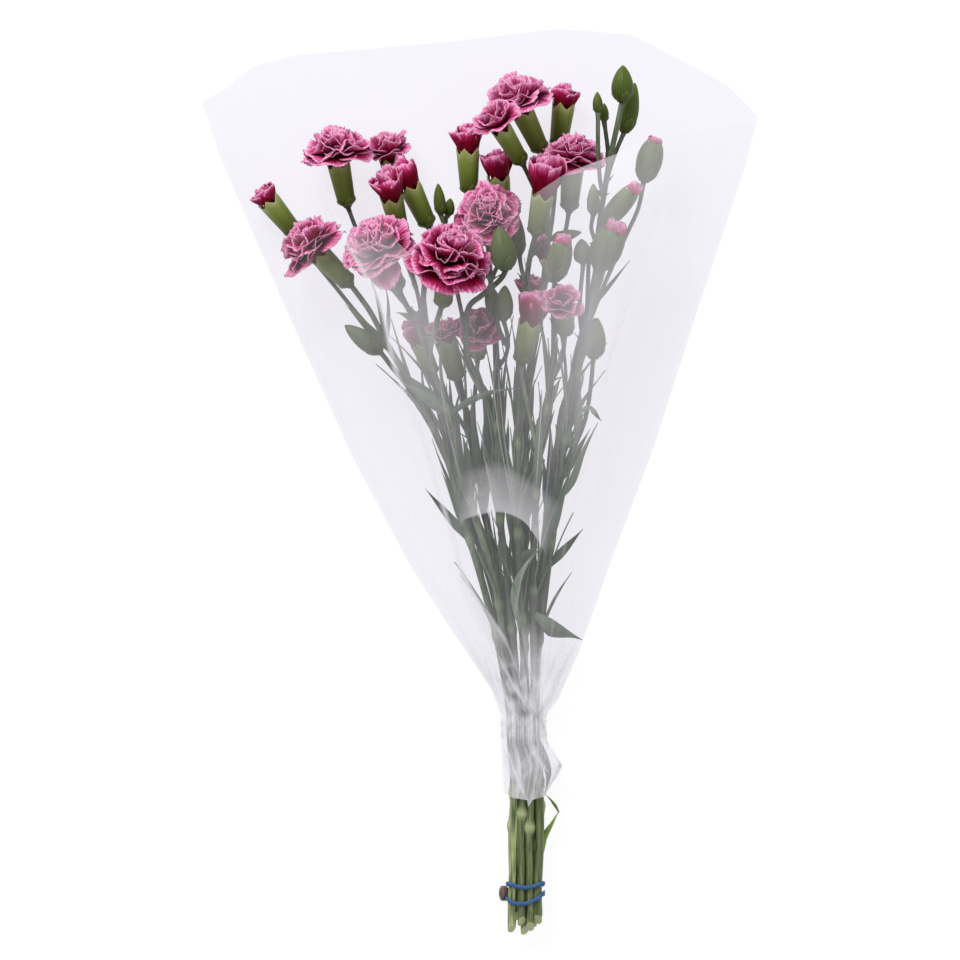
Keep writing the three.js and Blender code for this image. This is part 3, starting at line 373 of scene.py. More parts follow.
# ---- The bundle, the sleeve lying flat, and the bands ----
# X of the bundle's middle, of the seams and of the front's two creases, and two heights, all by Y.
# The film's edges are Y by the share of the way from seam to seam, from -1 to 1.
BUNDLE_MIDDLE = [(-255, 25.4), (-165, 26.2), (-148, 24.6), (-133, 24.2)]
LEFT_SEAM = [
    (-184, 13.5), (-160, 12), (-148, 11.5), (-133, 11.5), (-118, 6), (-84, -17), (-50, -39),
    (14, -73), (101, -112), (182, -147), (214, -157.5), (250, -173),
]
RIGHT_SEAM = [
    (-184, 38), (-161, 47), (-148, 38), (-133, 37.4), (-123, 45), (-98, 56), (-67, 67), (-36, 78),
    (17, 98), (95, 123), (143, 139), (176, 150), (205.5, 157.5), (250, 171),
]
SLEEVE_HEIGHT = [
    (-184, 22), (-148, 22), (-133, 22), (-110, 26), (-70, 38), (-30, 48), (20, 62), (75, 73),
    (110, 75.5), (160, 77), (200, 66),
]
BACK_LIFT = [(-148, 1.3), (-128, 1.3), (-112, 0), (0, 0)]
BACK_EDGE = [
    (-1, 214), (-0.9, 221), (-0.77, 234), (-0.62, 240), (-0.11, 247.5), (0.26, 255), (0.5, 252),
    (0.86, 223), (1, 205.5),
]
FRONT_EDGE = [
    (-1, 186), (-0.96, 184), (-0.88, 185), (-0.76, 177), (-0.6, 149), (-0.49, 150), (-0.42, 147),
    (-0.4, 134), (-0.36, 128), (-0.31, 117), (-0.24, 110), (-0.13, 108), (-0.1, 148), (-0.06, 157),
    (0.18, 158), (0.31, 171), (0.5, 182), (0.6, 191), (0.86, 197), (0.96, 200), (1, 200),
]
SKIRT_EDGE = [
    (-1, -177), (-0.6, -179), (0, -180), (0.12, -184), (0.24, -180), (0.75, -178), (0.9, -170),
    (1, -161),
]
LEFT_CREASE = [
    (-133, 31), (-128, 28), (-90, 14), (-75.6, 4.6), (-54, -9.4), (-33, -15), (-11, -22), (28, -34),
    (61.6, -47.6), (98, -56), (131.6, -74.2), (142.8, -78.4), (173.6, -92.4),
]
RIGHT_CREASE = [
    (-120, 40), (-60, 45), (-11, 53), (17, 62), (50, 67), (73, 74), (95, 82), (111, 87), (140, 97),
    (165, 106), (200, 116),
]
TAPE_Y = (-147, -134)
BAND_FRONT = (-226.2, -234.4)  # Y of the band's two turns in front of the stems,
BAND_BACK = (-229, -233.6)  # and behind them
BAND_TILT = (0.2, 1.8)  # rise of each turn from its middle to its right end
BAND_SAG = (3.4, 4.2)
DRIED_BASE = (13.2, -233.2, 6.8)  # its middle
CURL_RADIUS = 3.5
CURL_HALF_LENGTH = 4.1
PRESSED = 0.8  # height under which a soft edge is pressed flat on the surface


# ---- Paths and meshes ----
def catmull_rom(points, per_span=24):
    """Points along the centripetal curve through the given ones."""
    p = [np.array(q, float) for q in points]
    p = [2 * p[0] - p[1], *p, 2 * p[-1] - p[-2]]
    spans = []
    for p0, p1, p2, p3 in zip(p, p[1:], p[2:], p[3:]):
        d0, d1, d2 = (np.linalg.norm(b - a) ** 0.5 for a, b in ((p0, p1), (p1, p2), (p2, p3)))
        t1 = ((p1 - p0) / d0 - (p2 - p0) / (d0 + d1) + (p2 - p1) / d1) * d1
        t2 = ((p2 - p1) / d1 - (p3 - p1) / (d1 + d2) + (p3 - p2) / d2) * d1
        s = np.linspace(0, 1, per_span, endpoint=False)[:, None]
        cubic = (2 * p1 - 2 * p2 + t1 + t2) * s**3 + (3 * p2 - 3 * p1 - 2 * t1 - t2) * s**2
        spans.append(p1 + t1 * s + cubic)
    return np.concatenate([*spans, [p[-2]]])


class Path:
    """A smooth path through points, read by the share of its length."""

    def __init__(self, points):
        self.points = catmull_rom(points)
        steps = np.linalg.norm(np.diff(self.points, axis=0), axis=1)
        self.run = np.concatenate([[0], np.cumsum(steps)])
        self.length = self.run[-1]

    def at(self, t):
        run = np.asarray(t, float) * self.length
        return np.stack([np.interp(run, self.run, self.points[:, k]) for k in range(3)], axis=-1)

    def tangent(self, t):
        step = 1 / self.length
        return unit(self.at(min(t + step, 1)) - self.at(max(t - step, 0)))

    def at_y(self, y):
        return np.interp(y, self.points[:, 1], self.run) / self.length

    def nearest(self, point):
        return self.points[np.argmin(np.linalg.norm(self.points - point, axis=1))]


class Shape:
    """One piece's mesh as it grows. Each point also has a place: three numbers for its material."""

    def __init__(self):
        self.points, self.places, self.faces, self.slots = [], [], [], []
        self.count = 0

    def grid(self, points, places, slot=0, wrap=False, caps=False):
        """A net of quads through rows of points. caps closes a wrapped net's two end rows."""
        rows, columns = points.shape[:2]
        ids = self.count + np.arange(rows * columns).reshape(rows, columns)
        self.count += rows * columns
        self.points.append(points.reshape(-1, 3))
        self.places.append(np.broadcast_to(places, points.shape).reshape(-1, 3))
        next_ids = np.roll(ids, -1, axis=1)
        keep = slice(None) if wrap else slice(0, -1)
        quads = np.stack([ids[:-1], next_ids[:-1], next_ids[1:], ids[1:]], axis=-1)[:, keep]
        self._faces(quads.reshape(-1, 4).tolist(), slot)
        if caps:
            self._faces([ids[0][::-1].tolist(), ids[-1].tolist()], slot)
        return ids

    def close(self, ids):
        """Closes a ring of points with one face."""
        self._faces([ids.tolist()], self.slots[-1])

    def _faces(self, faces, slot):
        self.faces += faces
        self.slots += [slot] * len(faces)

    def blade(self, middle, thickness, places, slot=0):
        """A thin closed sheet on both sides of a net of points."""
        normal = unit(np.cross(np.gradient(middle, axis=1), np.gradient(middle, axis=0)) + 1e-9)
        half = normal * np.asarray(thickness)[..., None] / 2
        loop = np.concatenate([middle + half, (middle - half)[:, ::-1]], axis=1)
        both = np.concatenate([places, places[:, ::-1]], axis=1)
        ids = self.grid(loop, both, slot, wrap=True)
        columns = middle.shape[1]
        for row, turned in ((ids[0], True), (ids[-1], False)):
            upper, lower = row[:columns], row[columns:][::-1]
            quads = np.stack([upper[:-1], upper[1:], lower[1:], lower[:-1]], axis=-1)
            self._faces((quads[:, ::-1] if turned else quads).tolist(), slot)

    def build(self, name, nodes, slot, *materials):
        mesh = bpy.data.meshes.new(name)
        points = np.concatenate(self.points)
        pressed = points[:, 2] < PRESSED
        points[pressed, 2] = PRESSED * np.exp(points[pressed, 2] / PRESSED - 1)
        points = points * MM + SHIFT
        mesh.from_pydata(points.tolist(), [], self.faces)
        place = mesh.attributes.new("place", "FLOAT_VECTOR", "POINT")
        place.data.foreach_set("vector", np.concatenate(self.places).astype(np.float32).ravel())
        for material in materials:
            mesh.materials.append(material)
        mesh.polygons.foreach_set("material_index", self.slots)
        mesh.polygons.foreach_set("use_smooth", [True] * len(mesh.polygons))
        mesh.update()
        piece = bpy.data.objects.new(name, mesh)
        bpy.context.scene.collection.objects.link(piece)
        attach(piece, "root")
        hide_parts(*nodes)
        return piece


def rings(path_points, radii, sides):
    """Rings round a path, each turned as little as it can be from the one before."""
    tangents = unit(np.gradient(path_points, axis=0))
    u = side_axes(tangents[0])[0]
    angle = angles_round(sides)[:, None]
    out = []
    for point, tangent, radius in zip(path_points, tangents, radii):
        u = unit(u - tangent * np.dot(u, tangent))
        out.append(point + radius * (np.cos(angle) * u + np.sin(angle) * np.cross(tangent, u)))
    return np.array(out)


def places_of(a, b, c):
    return np.stack(np.broadcast_arrays(np.asarray(a, float), b, c), axis=-1)


# ---- Materials ----
class Material:
    """A node material, with short calls for the nodes that the finishes share."""

    def __init__(self, name):
        self.material = bpy.data.materials.new(name)
        self.material.use_nodes = True
        self.tree = self.material.node_tree
        self.tree.nodes.clear()
        self.out = self.tree.nodes.new("ShaderNodeOutputMaterial")
        self.shader = self.node("ShaderNodeBsdfPrincipled")
        self.put(self.out.inputs["Surface"], self.shader.outputs[0])

    def node(self, kind, sockets=None, **settings):
        node = self.tree.nodes.new(kind)
        for key, value in settings.items():
            setattr(node, key, value)
        for key, value in (sockets or {}).items():
            self.put(node.inputs[key], value)
        return node

    def put(self, socket, value):
        if isinstance(value, bpy.types.NodeSocket):
            self.tree.links.new(value, socket)
        else:
            socket.default_value = value

    def set(self, **sockets):
        for key, value in sockets.items():
            self.put(self.shader.inputs[key.replace("_", " ").title()], value)

    def shine(self, level):
        """How strongly the surface mirrors light that falls straight on it."""
        self.shader.inputs["Specular IOR Level"].default_value = level

    def place(self):
        """The three numbers that each point carries."""
        found = self.node("ShaderNodeAttribute", attribute_name="place")
        split = self.node("ShaderNodeSeparateXYZ", {"Vector": found.outputs["Vector"]})
        return split.outputs[0], split.outputs[1], split.outputs[2]

    def join(self, x, y, z):
        return self.node("ShaderNodeCombineXYZ", {0: x, 1: y, 2: z}).outputs[0]

    def math(self, operation, a, b=0.0, clamp=False):
        return self.node("ShaderNodeMath", {0: a, 1: b}, operation=operation, use_clamp=clamp).outputs[0]

    def plus(self, a, b, clamp=False):
        return self.math("ADD", a, b, clamp)

    def minus(self, a, b, clamp=False):
        return self.math("SUBTRACT", a, b, clamp)

    def times(self, a, b):
        return self.math("MULTIPLY", a, b)

    def swing(self, value, gain):
        """How far the value is from its middle, times the gain."""
        return self.times(self.minus(value, 0.5), gain)

    def stronger(self, value, gain):
        """The value with that much more contrast round its middle."""
        return self.plus(self.swing(value, gain), 0.5, clamp=True)

    def noise(self, vector, scale, detail=3.0):
        sockets = {"Vector": vector, "Scale": scale, "Detail": detail, "Roughness": 0.55}
        return self.node("ShaderNodeTexNoise", sockets).outputs["Fac"]

    def grain(self, scale, detail=3.0, stretch=1.0):
        """Noise by a point's spot in the object, drawn out along Y where stretch is under 1."""
        where = self.node("ShaderNodeTexCoord").outputs["Object"]
        sockets = {"Vector": where, "Scale": (1.0, stretch, 1.0)}
        return self.noise(self.node("ShaderNodeMapping", sockets).outputs[0], scale, detail)

    def ramp(self, at, stops):
        node = self.node("ShaderNodeValToRGB", {"Fac": at})
        elements = node.color_ramp.elements
        while len(elements) < len(stops):
            elements.new(0.5)
        for element, (position, colour) in zip(elements, stops):
            element.position = position
            element.color = colour
        return node.outputs["Color"]

    def mix(self, share, a, b):
        return self.node("ShaderNodeMix", {0: share, 6: a, 7: b}, data_type="RGBA").outputs[2]

    def tint(self, skin, share, much, colour):
        """The skin with that colour over it, by the share times much."""
        return self.mix(self.times(share, much), skin, colour)

    def bump(self, height, strength, distance):
        sockets = {"Height": height, "Strength": strength, "Distance": distance}
        self.set(normal=self.node("ShaderNodeBump", sockets).outputs[0])

    def see_through(self, share, behind):
        """Shows what is behind in that tint, but for that share of the surface."""
        clear = self.node("ShaderNodeBsdfTransparent", {"Color": behind}).outputs[0]
        sockets = {0: share, 1: clear, 2: self.shader.outputs[0]}
        self.put(self.out.inputs["Surface"], self.node("ShaderNodeMixShader", sockets).outputs[0])


def srgb(red, green, blue):
    """A colour as a screen shows it, from 0 to 255, in the linear light that shaders use."""
    def linear(v):
        return v / 12.92 if v <= 0.04045 else ((v + 0.055) / 1.055) ** 2.4
    return (*(linear(v / 255) for v in (red, green, blue)), 1.0)


WHITE = (1.0, 1.0, 1.0, 1.0)
THROUGH_FILM = (0.905, 0.888, 0.94, 1.0)  # what white looks like where the film tints in full


def petal_material():
    """Deep magenta in the throat, streaked paler towards a light, ragged edge."""
    m = Material("petal_frilled")
    across, along, shade = m.place()
    fine = m.noise(m.join(m.times(across, 9.0), m.times(along, 1.3), m.times(shade, 37.0)), 2.4, 4.0)
    broad = m.noise(m.join(across, m.times(along, 2.0), m.times(shade, 19.0)), 1.6)
    uneven = m.plus(m.swing(fine, 0.85), m.swing(broad, 0.35))
    # The darkest stop is partly the throat's own deep magenta and partly painted light: it is kept lighter
    # to stand in for light that shines through the petals.
    colour = m.ramp(m.plus(along, uneven, clamp=True), [
        (0.0, srgb(90, 2, 16)), (0.4, srgb(124, 6, 36)), (0.62, srgb(158, 28, 78)),
        (0.78, srgb(196, 76, 130)), (0.9, srgb(220, 126, 174)), (1.0, srgb(240, 178, 212)),
    ])
    own_shade = m.math("FRACT", m.times(shade, 7.3))
    m.set(base_color=m.tint(colour, own_shade, 0.22, srgb(128, 16, 56)), roughness=0.65)
    m.shine(0.05)
    m.bump(m.plus(fine, m.times(broad, 0.6)), 0.5, 0.0006)
    return m.material


def stem_material():
    """Waxy grey-green, yellower near the cut ends, with pale swollen joints."""
    m = Material("stem_waxy")
    joint, low, shade = m.place()
    # The strong streaks are partly the stems' own lengthwise marks and partly painted light: their pale
    # ends stand in for highlights, and their dark ends for the shade between stems.
    streaks = m.stronger(m.grain(700.0, stretch=0.08), 3.2)
    blotches = m.stronger(m.grain(110.0, stretch=0.25), 2.0)
    upper = m.mix(streaks, srgb(38, 52, 34), srgb(116, 128, 100))
    lower = m.mix(streaks, srgb(46, 66, 18), srgb(200, 208, 144))
    skin = m.tint(m.mix(low, upper, lower), blotches, 0.4, srgb(122, 136, 102))
    skin = m.tint(skin, shade, 0.75, m.mix(low, srgb(34, 48, 28), srgb(46, 64, 22)))
    skin = m.tint(skin, joint, 0.7, m.mix(low, srgb(124, 136, 104), srgb(186, 194, 146)))
    m.set(base_color=skin, roughness=m.plus(m.times(blotches, 0.25), 0.38))
    m.bump(streaks, 0.35, 0.0003)
    return m.material


def leaf_material():
    """A glaucous leaf: grey-green with a bluish wax, a paler rib and a yellow-green edge."""
    m = Material("leaf_glaucous")
    across, along, shade = m.place()
    veins = m.noise(m.join(m.times(across, 14.0), m.times(along, 1.2), shade), 1.5, 2.0)
    wax = m.grain(140.0, 4.0)
    skin = m.mix(veins, srgb(38, 54, 40), srgb(92, 110, 88))
    skin = m.tint(skin, wax, 0.4, srgb(106, 122, 112))
    edge = m.math("POWER", m.math("ABSOLUTE", across), 5.0)
    skin = m.tint(skin, edge, 0.5, srgb(128, 142, 92))
    rib = m.math("LESS_THAN", m.math("ABSOLUTE", across), 0.1)
    skin = m.tint(skin, rib, 0.3, srgb(128, 142, 108))
    skin = m.tint(skin, m.minus(1.0, shade, clamp=True), 0.5, srgb(132, 146, 126))
    skin = m.tint(skin, shade, 0.55, srgb(36, 50, 28))
    skin = m.mix(m.minus(shade, 1.0, clamp=True), skin, srgb(132, 166, 60))
    m.set(base_color=skin, roughness=m.plus(m.times(wax, 0.3), 0.4))
    m.bump(veins, 0.4, 0.0003)
    return m.material


def calyx_material():
    """A bud's or calyx's skin: fresh green, darker at its base, pale and papery at the teeth."""
    m = Material("calyx_skin")
    around, along, shade = m.place()
    ribs = m.node("ShaderNodeTexWave", {
        "Vector": m.join(around, 0.0, 0.0), "Scale": 7.0, "Distortion": 0.6, "Detail": 1.0,
    }).outputs["Fac"]
    mottle = m.grain(160.0, 4.0, stretch=0.5)
    skin = m.ramp(m.plus(along, m.swing(mottle, 0.25)), [
        (0.0, srgb(46, 56, 12)), (0.12, srgb(60, 72, 16)), (0.45, srgb(92, 108, 34)),
        (0.8, srgb(120, 134, 60)), (0.96, srgb(156, 162, 104)),
    ])
    skin = m.tint(skin, ribs, 0.2, srgb(134, 146, 76))
    skin = m.tint(skin, shade, 0.45, srgb(54, 70, 24))
    skin = m.mix(m.minus(shade, 1.0, clamp=True), skin, srgb(134, 136, 128))
    m.set(base_color=skin, roughness=m.plus(m.times(mottle, 0.2), 0.34))
    m.shine(0.2)
    m.bump(m.plus(ribs, mottle), 0.25, 0.0003)
    return m.material


def film_material():
    """Clear film. A point's numbers are how much it hides, how much it tints what is behind, and
    how crumpled it is. What it hides is mostly painted glare in place of the lights' reflection, and
    its own haze where it is gathered."""
    m = Material("film_clear")
    glare_and_haze, tinted, crumple = m.place()
    # Fine lengthwise lines and the ridges of the crumpled creases hide more: painted highlights.
    lines = m.grain(260.0, 2.0, stretch=0.06)
    creases = m.grain(75.0, stretch=0.5)
    off_crease = m.math("ABSOLUTE", m.swing(creases, 5.0))
    ridge = m.math("POWER", m.minus(1.0, off_crease, clamp=True), 2.0)
    uneven = m.plus(m.swing(lines, 0.05), m.times(m.times(ridge, crumple), 0.22))
    share = m.plus(glare_and_haze, uneven, clamp=True)
    behind = m.mix(tinted, WHITE, THROUGH_FILM)
    m.set(base_color=srgb(242, 240, 246), roughness=0.2)
    soft = m.grain(55.0, 2.0, stretch=0.3)
    m.bump(m.plus(soft, m.times(m.times(creases, crumple), 2.0)), 0.12, 0.002)
    m.see_through(share, behind)
    return m.material


def tape_material():
    """Clear tape over the gathered film: whiter than the film, with fine creases whose grey and white are
    partly painted shade and highlights.
    """
    m = Material("tape_creased")
    whole, _, _ = m.place()
    creases_and_shade = m.grain(320.0, stretch=0.6)
    # The creases' grey and white are partly painted shade and highlights.
    m.set(base_color=m.mix(creases_and_shade, srgb(214, 214, 216), srgb(250, 250, 252)), roughness=0.25)
    m.bump(creases_and_shade, 0.5, 0.0008)
    share = m.minus(m.times(creases_and_shade, 1.1), 0.3, clamp=True)
    m.see_through(m.times(share, whole), WHITE)
    return m.material


def rubber_material():
    m = Material("rubber_blue")
    grain = m.grain(1400.0, 4.0)
    wear = m.grain(220.0)
    m.set(base_color=m.mix(wear, srgb(20, 64, 118), srgb(52, 108, 164)), roughness=0.58)
    m.bump(grain, 0.3, 0.0002)
    return m.material


def dried_material():
    m = Material("leaf_dried")
    fibres = m.grain(700.0, 4.0, stretch=0.2)
    stops = [(0.25, srgb(62, 46, 40)), (0.55, srgb(112, 94, 84)), (0.8, srgb(160, 146, 136))]
    m.set(base_color=m.ramp(fibres, stops), roughness=0.85)
    m.bump(fibres, 0.8, 0.0005)
    return m.material


PETAL = petal_material()
GREENS = (stem_material(), leaf_material(), calyx_material())
ON_STEM, ON_LEAF, ON_CALYX = range(len(GREENS))


# ---- Sprays: stems, calyces, buds and leaves ----
STEM_ROWS = 190
STEM_SIDES = 12
SHOOT_SIDES = 10
HEAD_SIDES = 40
SPRAY_SEED = 3
SOURCE_SEED = 11  # the part's own, by which it places its pairs of leaves
LOW_STEM = (-186, -160)  # Y over which a stem turns yellower and less even towards its cut end
JOINT_HALF_LENGTH = 2.8
JOINT_SWELL = 0.34  # of the stem's radius
CLOSE_LEAVES_Y = [*np.arange(-72, -20, 19), *np.arange(-12, 56, 11)]
CLOSE_LEAF_LENGTH = (22, 44)
SHADED_LEAVES_Y = (-80, -15)  # Y between which the leaves close to the stems are dark: painted shade where they crowd together
BROAD_Y = (-16, 50)  # Y between which the leaves close to the stems are broad,
BROAD_WIDTH = (4.4, 7.2)
NARROW_WIDTH = (2.6, 4.4)  # and their width elsewhere
# What the part tries until a leaf fits, as shares of its length and bend, and turns in radians.
TRIED_LENGTHS = (1, 0.8, 0.62, 0.45)
TRIED_BENDS = (1, 0.55, 0.2)
TRIED_TURNS = (0, 0.4, -0.4, 0.8, -0.8)
ON_SOLID = 0.45  # how far off the solid a leaf that the part has can be


def bundle_point(slot, y):
    """The middle of a stem in the bundle, by its slot's half column and row."""
    column, row = slot
    x = clamped(BUNDLE_MIDDLE, y) + column * STEM_PITCH / 2
    return np.array([x, y, BUNDLE_HEIGHT + (row - 1) * ROW_PITCH])


def spray_paths(spray):
    """The stem's path, then one for each side shoot."""
    tied = [bundle_point(spray["slot"], y) for y in (spray["cut"], *TIED_Y)]
    paths = [Path([*tied, *spray["path"], spray["head"].base])]
    for points, head in spray["shoots"]:
        paths.append(Path([nearest_on(paths, points[0]), *points[1:], head.base]))
    return paths


def nearest_on(paths, point):
    """The point of any of the paths that is closest to that one."""
    return min((path.nearest(point) for path in paths), key=lambda p: np.linalg.norm(p - point))


def heads_of(spray):
    return [spray["head"], *(head for _, head in spray["shoots"])]


def add_stem(shape, spray, path, shade, draw):
    """The stem itself: tapered, swollen and paler at its joints, with a pale, slanting cut end."""
    t = np.linspace(0, 1, STEM_ROWS)
    spots = path.at(t)
    y = spots[:, 1]
    low = 1 - smooth_step(*LOW_STEM, y)
    sway = np.sin(y / draw.uniform(9, 16) + draw.uniform(0, 6))
    spots[:, 0] += 0.5 * sway * low
    taper = STEM_RADIUS + (STEM_TOP_RADIUS - STEM_RADIUS) * np.clip(t * 1.6 - 0.6, 0, None)
    joint = np.max([np.exp(-(((y - at) / JOINT_HALF_LENGTH) ** 2)) for at in spray["joints"]], axis=0)
    radii = taper * (1 + (JOINT_SWELL + 0.16 * low) * joint) * (1 + low * draw.uniform(-0.12, 0.16))
    pale = np.maximum(joint, 0.9 * (y < spray["cut"] + 0.5))
    around = rings(spots, radii, STEM_SIDES)
    lean = np.array([1.0, 0.5, 0.15])[:, None]  # of the first three rings, towards the cut's slant
    off_middle = around[:3] - spots[:3, None]
    slant = CUT_SLANT * off_middle[..., 2] + draw.uniform(-0.6, 0.6) * off_middle[..., 0]
    around[:3, :, 1] += lean * slant
    shades = np.full((1, STEM_SIDES), shade)
    ids = shape.grid(around, places_of(pale[:, None], low[:, None], shades), ON_STEM, wrap=True)
    shape.close(ids[-1])
    cut = spots[0] + (around[0] - spots[0]) * np.array([1, 0.55, 0.1])[:, None, None]
    shape.close(shape.grid(cut, places_of(1.0, 1.0, 0.0), ON_STEM, wrap=True)[-1])


def add_shoot(shape, path, shade):
    """A side shoot or a head's stalk, a little wider where it meets the head."""
    t = np.linspace(0, 1, max(12, int(path.length / 2.2)))
    flare = smooth_step(path.length - 4, path.length, t * path.length)
    foot = np.exp(-(((t - 0.02) * path.length / 2) ** 2))
    around = rings(path.at(t), SHOOT_RADIUS * (1 + 0.35 * flare + 0.3 * foot), SHOOT_SIDES)
    pale = np.exp(-((t * path.length / 3) ** 2)) * 0.6
    shades = np.full((1, SHOOT_SIDES), shade)
    shape.grid(around, places_of(pale[:, None], 0.0, shades), ON_STEM, wrap=True)


def tooth_wave(angle):
    """1 at the tips of a calyx's five teeth and 0 between them."""
    return np.abs(((angle * 5 / FULL_TURN) % 1) * 2 - 1)


def add_scales(shape, head, length, width_at, shade):
    """The two pairs of small pointed scales that clasp the foot of a calyx or bud."""
    t = np.linspace(0, 1, 9)[:, None]
    s = np.linspace(-1, 1, 9)[None, :]
    for k in range(4):
        half = 0.85 * (1 - t**1.6) + 0.02
        angle = 0.4 + k * math.pi / 2 + s * half
        along = t * length * (1.0 if k % 2 else 0.8) - 0.6
        across = width_at(np.clip(along, 0, None)) + 0.15 + 0.35 * t**4 + 0.15 * (k % 2)
        middle = head.spot(along, across, angle)
        places = places_of(s, 0.1 + 0.55 * t**2, shade)
        shape.blade(middle, np.full(middle.shape[:2], 0.3), places, ON_CALYX)


def add_calyx(shape, head, shade):
    """The green tube that holds a bloom's petals, with five teeth round its open top."""
    angle = angles_round(HEAD_SIDES)[None, :]
    tooth = tooth_wave(angle) ** 1.2
    rim = head.length * (0.92 + 0.15 * tooth)

    def width_at(along):
        t = np.clip(along / head.length, 0, 1.1)
        return head.calyx * (0.24 + 0.52 * smooth_step(-0.03, 0.13, t) + 0.26 * t)

    t = np.array([0, 0.02, 0.05, 0.1, 0.2, 0.35, 0.5, 0.65, 0.8, 0.9, 0.96, 1])[:, None]
    back = t[:5:-1]  # down the tube's inside, as far as its middle
    outside = head.spot(t * rim, width_at(t * rim) * (1 + 0.012 * np.cos(5 * angle)), angle)
    inside = head.spot(back * rim - 0.1, width_at(back * rim) - 0.5, angle)
    points = np.concatenate([outside, inside])
    along = np.concatenate([t, back]) * np.ones_like(angle)
    shape.grid(points, places_of(angle / FULL_TURN, along, shade), ON_CALYX, wrap=True)
    add_scales(shape, head, 0.27 * head.length, width_at, shade)


def bud_width(head, t):
    """A bud's radius at a share of its length: widest below its middle, blunter once it has split."""
    t = np.clip(t, 0, 1)
    closing, widest = (0.42, 0.578) if head.kind == "split" else (0.75, 0.4627)
    return head.radius * (t + 0.02) ** 0.45 * (1 - t) ** closing / widest


def add_bud(shape, head, shade):
    """A closed bud, or one that has just split and shows its petals."""
    split = head.kind == "split"
    angle = angles_round(HEAD_SIDES)[None, :]
    tooth = tooth_wave(angle)
    t = np.linspace(0, 1, 26)[:, None] ** 0.9
    seam = (1 - tooth) ** 5 * smooth_step(0.45, 0.8, t)
    top = head.span * ((head.rim + 0.08 * tooth) if split else 0.997)
    across = bud_width(head, t * top / head.span) * (1 - 0.08 * seam) + 0.05
    around = angle / FULL_TURN
    shape.grid(head.spot(t * top, across, angle), places_of(around, 0.45 * t, shade), ON_CALYX,
               wrap=True, caps=not split)
    if split:
        low = np.linspace(1, 0.7, 5)[:, None]
        inner = bud_width(head, low * top / head.span) - 0.45
        shape.grid(head.spot(low * top, inner, angle), places_of(around, low, shade), ON_CALYX, wrap=True)
    add_scales(shape, head, 0.34 * head.span, lambda y: bud_width(head, y / head.span), shade)


def add_strip(shape, centre, tangent, side, half, shade):
    """A leaf's blade along a line of points, with a V-shaped section."""
    t = np.linspace(0, 1, len(centre))
    s = np.linspace(-1, 1, 9)
    side = np.broadcast_to(side, centre.shape)
    up = np.cross(side, tangent)
    channel = 0.32 * half[:, None] * (np.abs(s) - 0.5)
    ripple = 0.25 * np.sin(7 * t + 20 * shade)[:, None] * s * smooth_step(0.1, 0.5, t)[:, None]
    middle = (centre[:, None] + side[:, None] * (half[:, None] * s)[..., None]
              - up[:, None] * (channel + ripple)[..., None])
    thick = 0.5 - 0.25 * np.abs(s)[None, :] * np.ones((len(centre), 1))
    shape.blade(middle, thick, places_of(s[None, :], t[:, None], shade), ON_LEAF)


def leaf_half_width(t, width):
    """Half a leaf's width along it: half open at its joint, widest early, closing to a point."""
    return width / 2 * (0.55 + 0.45 * smooth_step(0, 0.35, t)) * (1 - smooth_step(0.3, 1.03, t)) ** 0.8


class Leaf:
    """A narrow leaf: its root on the stem, its first direction, the way that it bends, its length,
    how far it bends as a share of that, its width and, for some, its shade."""

    def __init__(self, root, along, outward, length, bend, width=LEAF_WIDTH, shade=None):
        self.root, self.along, self.outward = root, along, outward
        self.length, self.bend, self.width, self.shade = length, bend, width, shade

    def spot(self, t):
        """Points of its middle line, by the share of its length."""
        t = np.asarray(t, float)[..., None]
        return self.root + self.along * (self.length * t) + self.outward * (self.bend * self.length * t**2)


def add_leaf(shape, leaf, shade):
    t = np.linspace(0, 1, 22)
    side = unit(np.cross(leaf.along, leaf.outward))
    tangent = unit(leaf.along + leaf.outward * (2 * leaf.bend * t)[:, None])
    add_strip(shape, leaf.spot(t), tangent, side, leaf_half_width(t, leaf.width), shade)


def add_seen_leaf(shape, line, width, shade):
    """A leaf along a line of points, its face turned up."""
    path = Path(line)
    t = np.linspace(0, 1, 26)
    centre = path.at(t)
    tangent = unit(np.gradient(centre, axis=0))
    side = unit(np.cross(tangent, np.array([0.15, 0, 1.0])))
    add_strip(shape, centre, tangent, side, leaf_half_width(t, width), shade)


def add_bracts(shape, path, run, draw):
    """A small pair of pointed leaves, where a shoot forks."""
    t = min(run / path.length, 1)
    tangent = path.tangent(t)
    turn = draw.uniform(0, math.pi)
    for angle in (turn, turn + math.pi):
        outward = square_to(tangent, angle)
        add_leaf(shape, Leaf(
            root=path.at(t) + outward * 0.6, along=unit(tangent + outward * 0.3), outward=outward,
            length=BRACT_LENGTH * draw.uniform(0.7, 1.15), width=2.8, bend=draw.uniform(0.1, 0.5),
        ), draw.uniform())


def paired_leaves(path, y, turn, random):
    """The two leaves that face each other at a joint."""
    t = path.at_y(y)
    along = path.tangent(t)
    leaves = []
    for angle in (turn, turn + math.pi):
        outward = square_to(along, angle)
        length = LEAF_LENGTH * (1 + spread(random, 0.25))
        leaves.append(Leaf(
            root=path.at(t) + outward * STEM_TOP_RADIUS / 3, outward=outward,
            along=unit(along + outward * LEAF_BEND / 2), length=length,
            bend=LEAF_BEND + spread(random, 0.12),
        ))
    return leaves


def single_leaf(root, tip, width, paths):
    """A leaf from the stem or shoot nearest to its root, whose tip is about there."""
    start = nearest_on(paths, root)
    along = unit(tip - start)
    outward = unit(np.array([0, 0, 1.0]) - along * along[2])
    return Leaf(start, along, outward, float(np.linalg.norm(tip - start)), LEAF_BEND / 3, width)


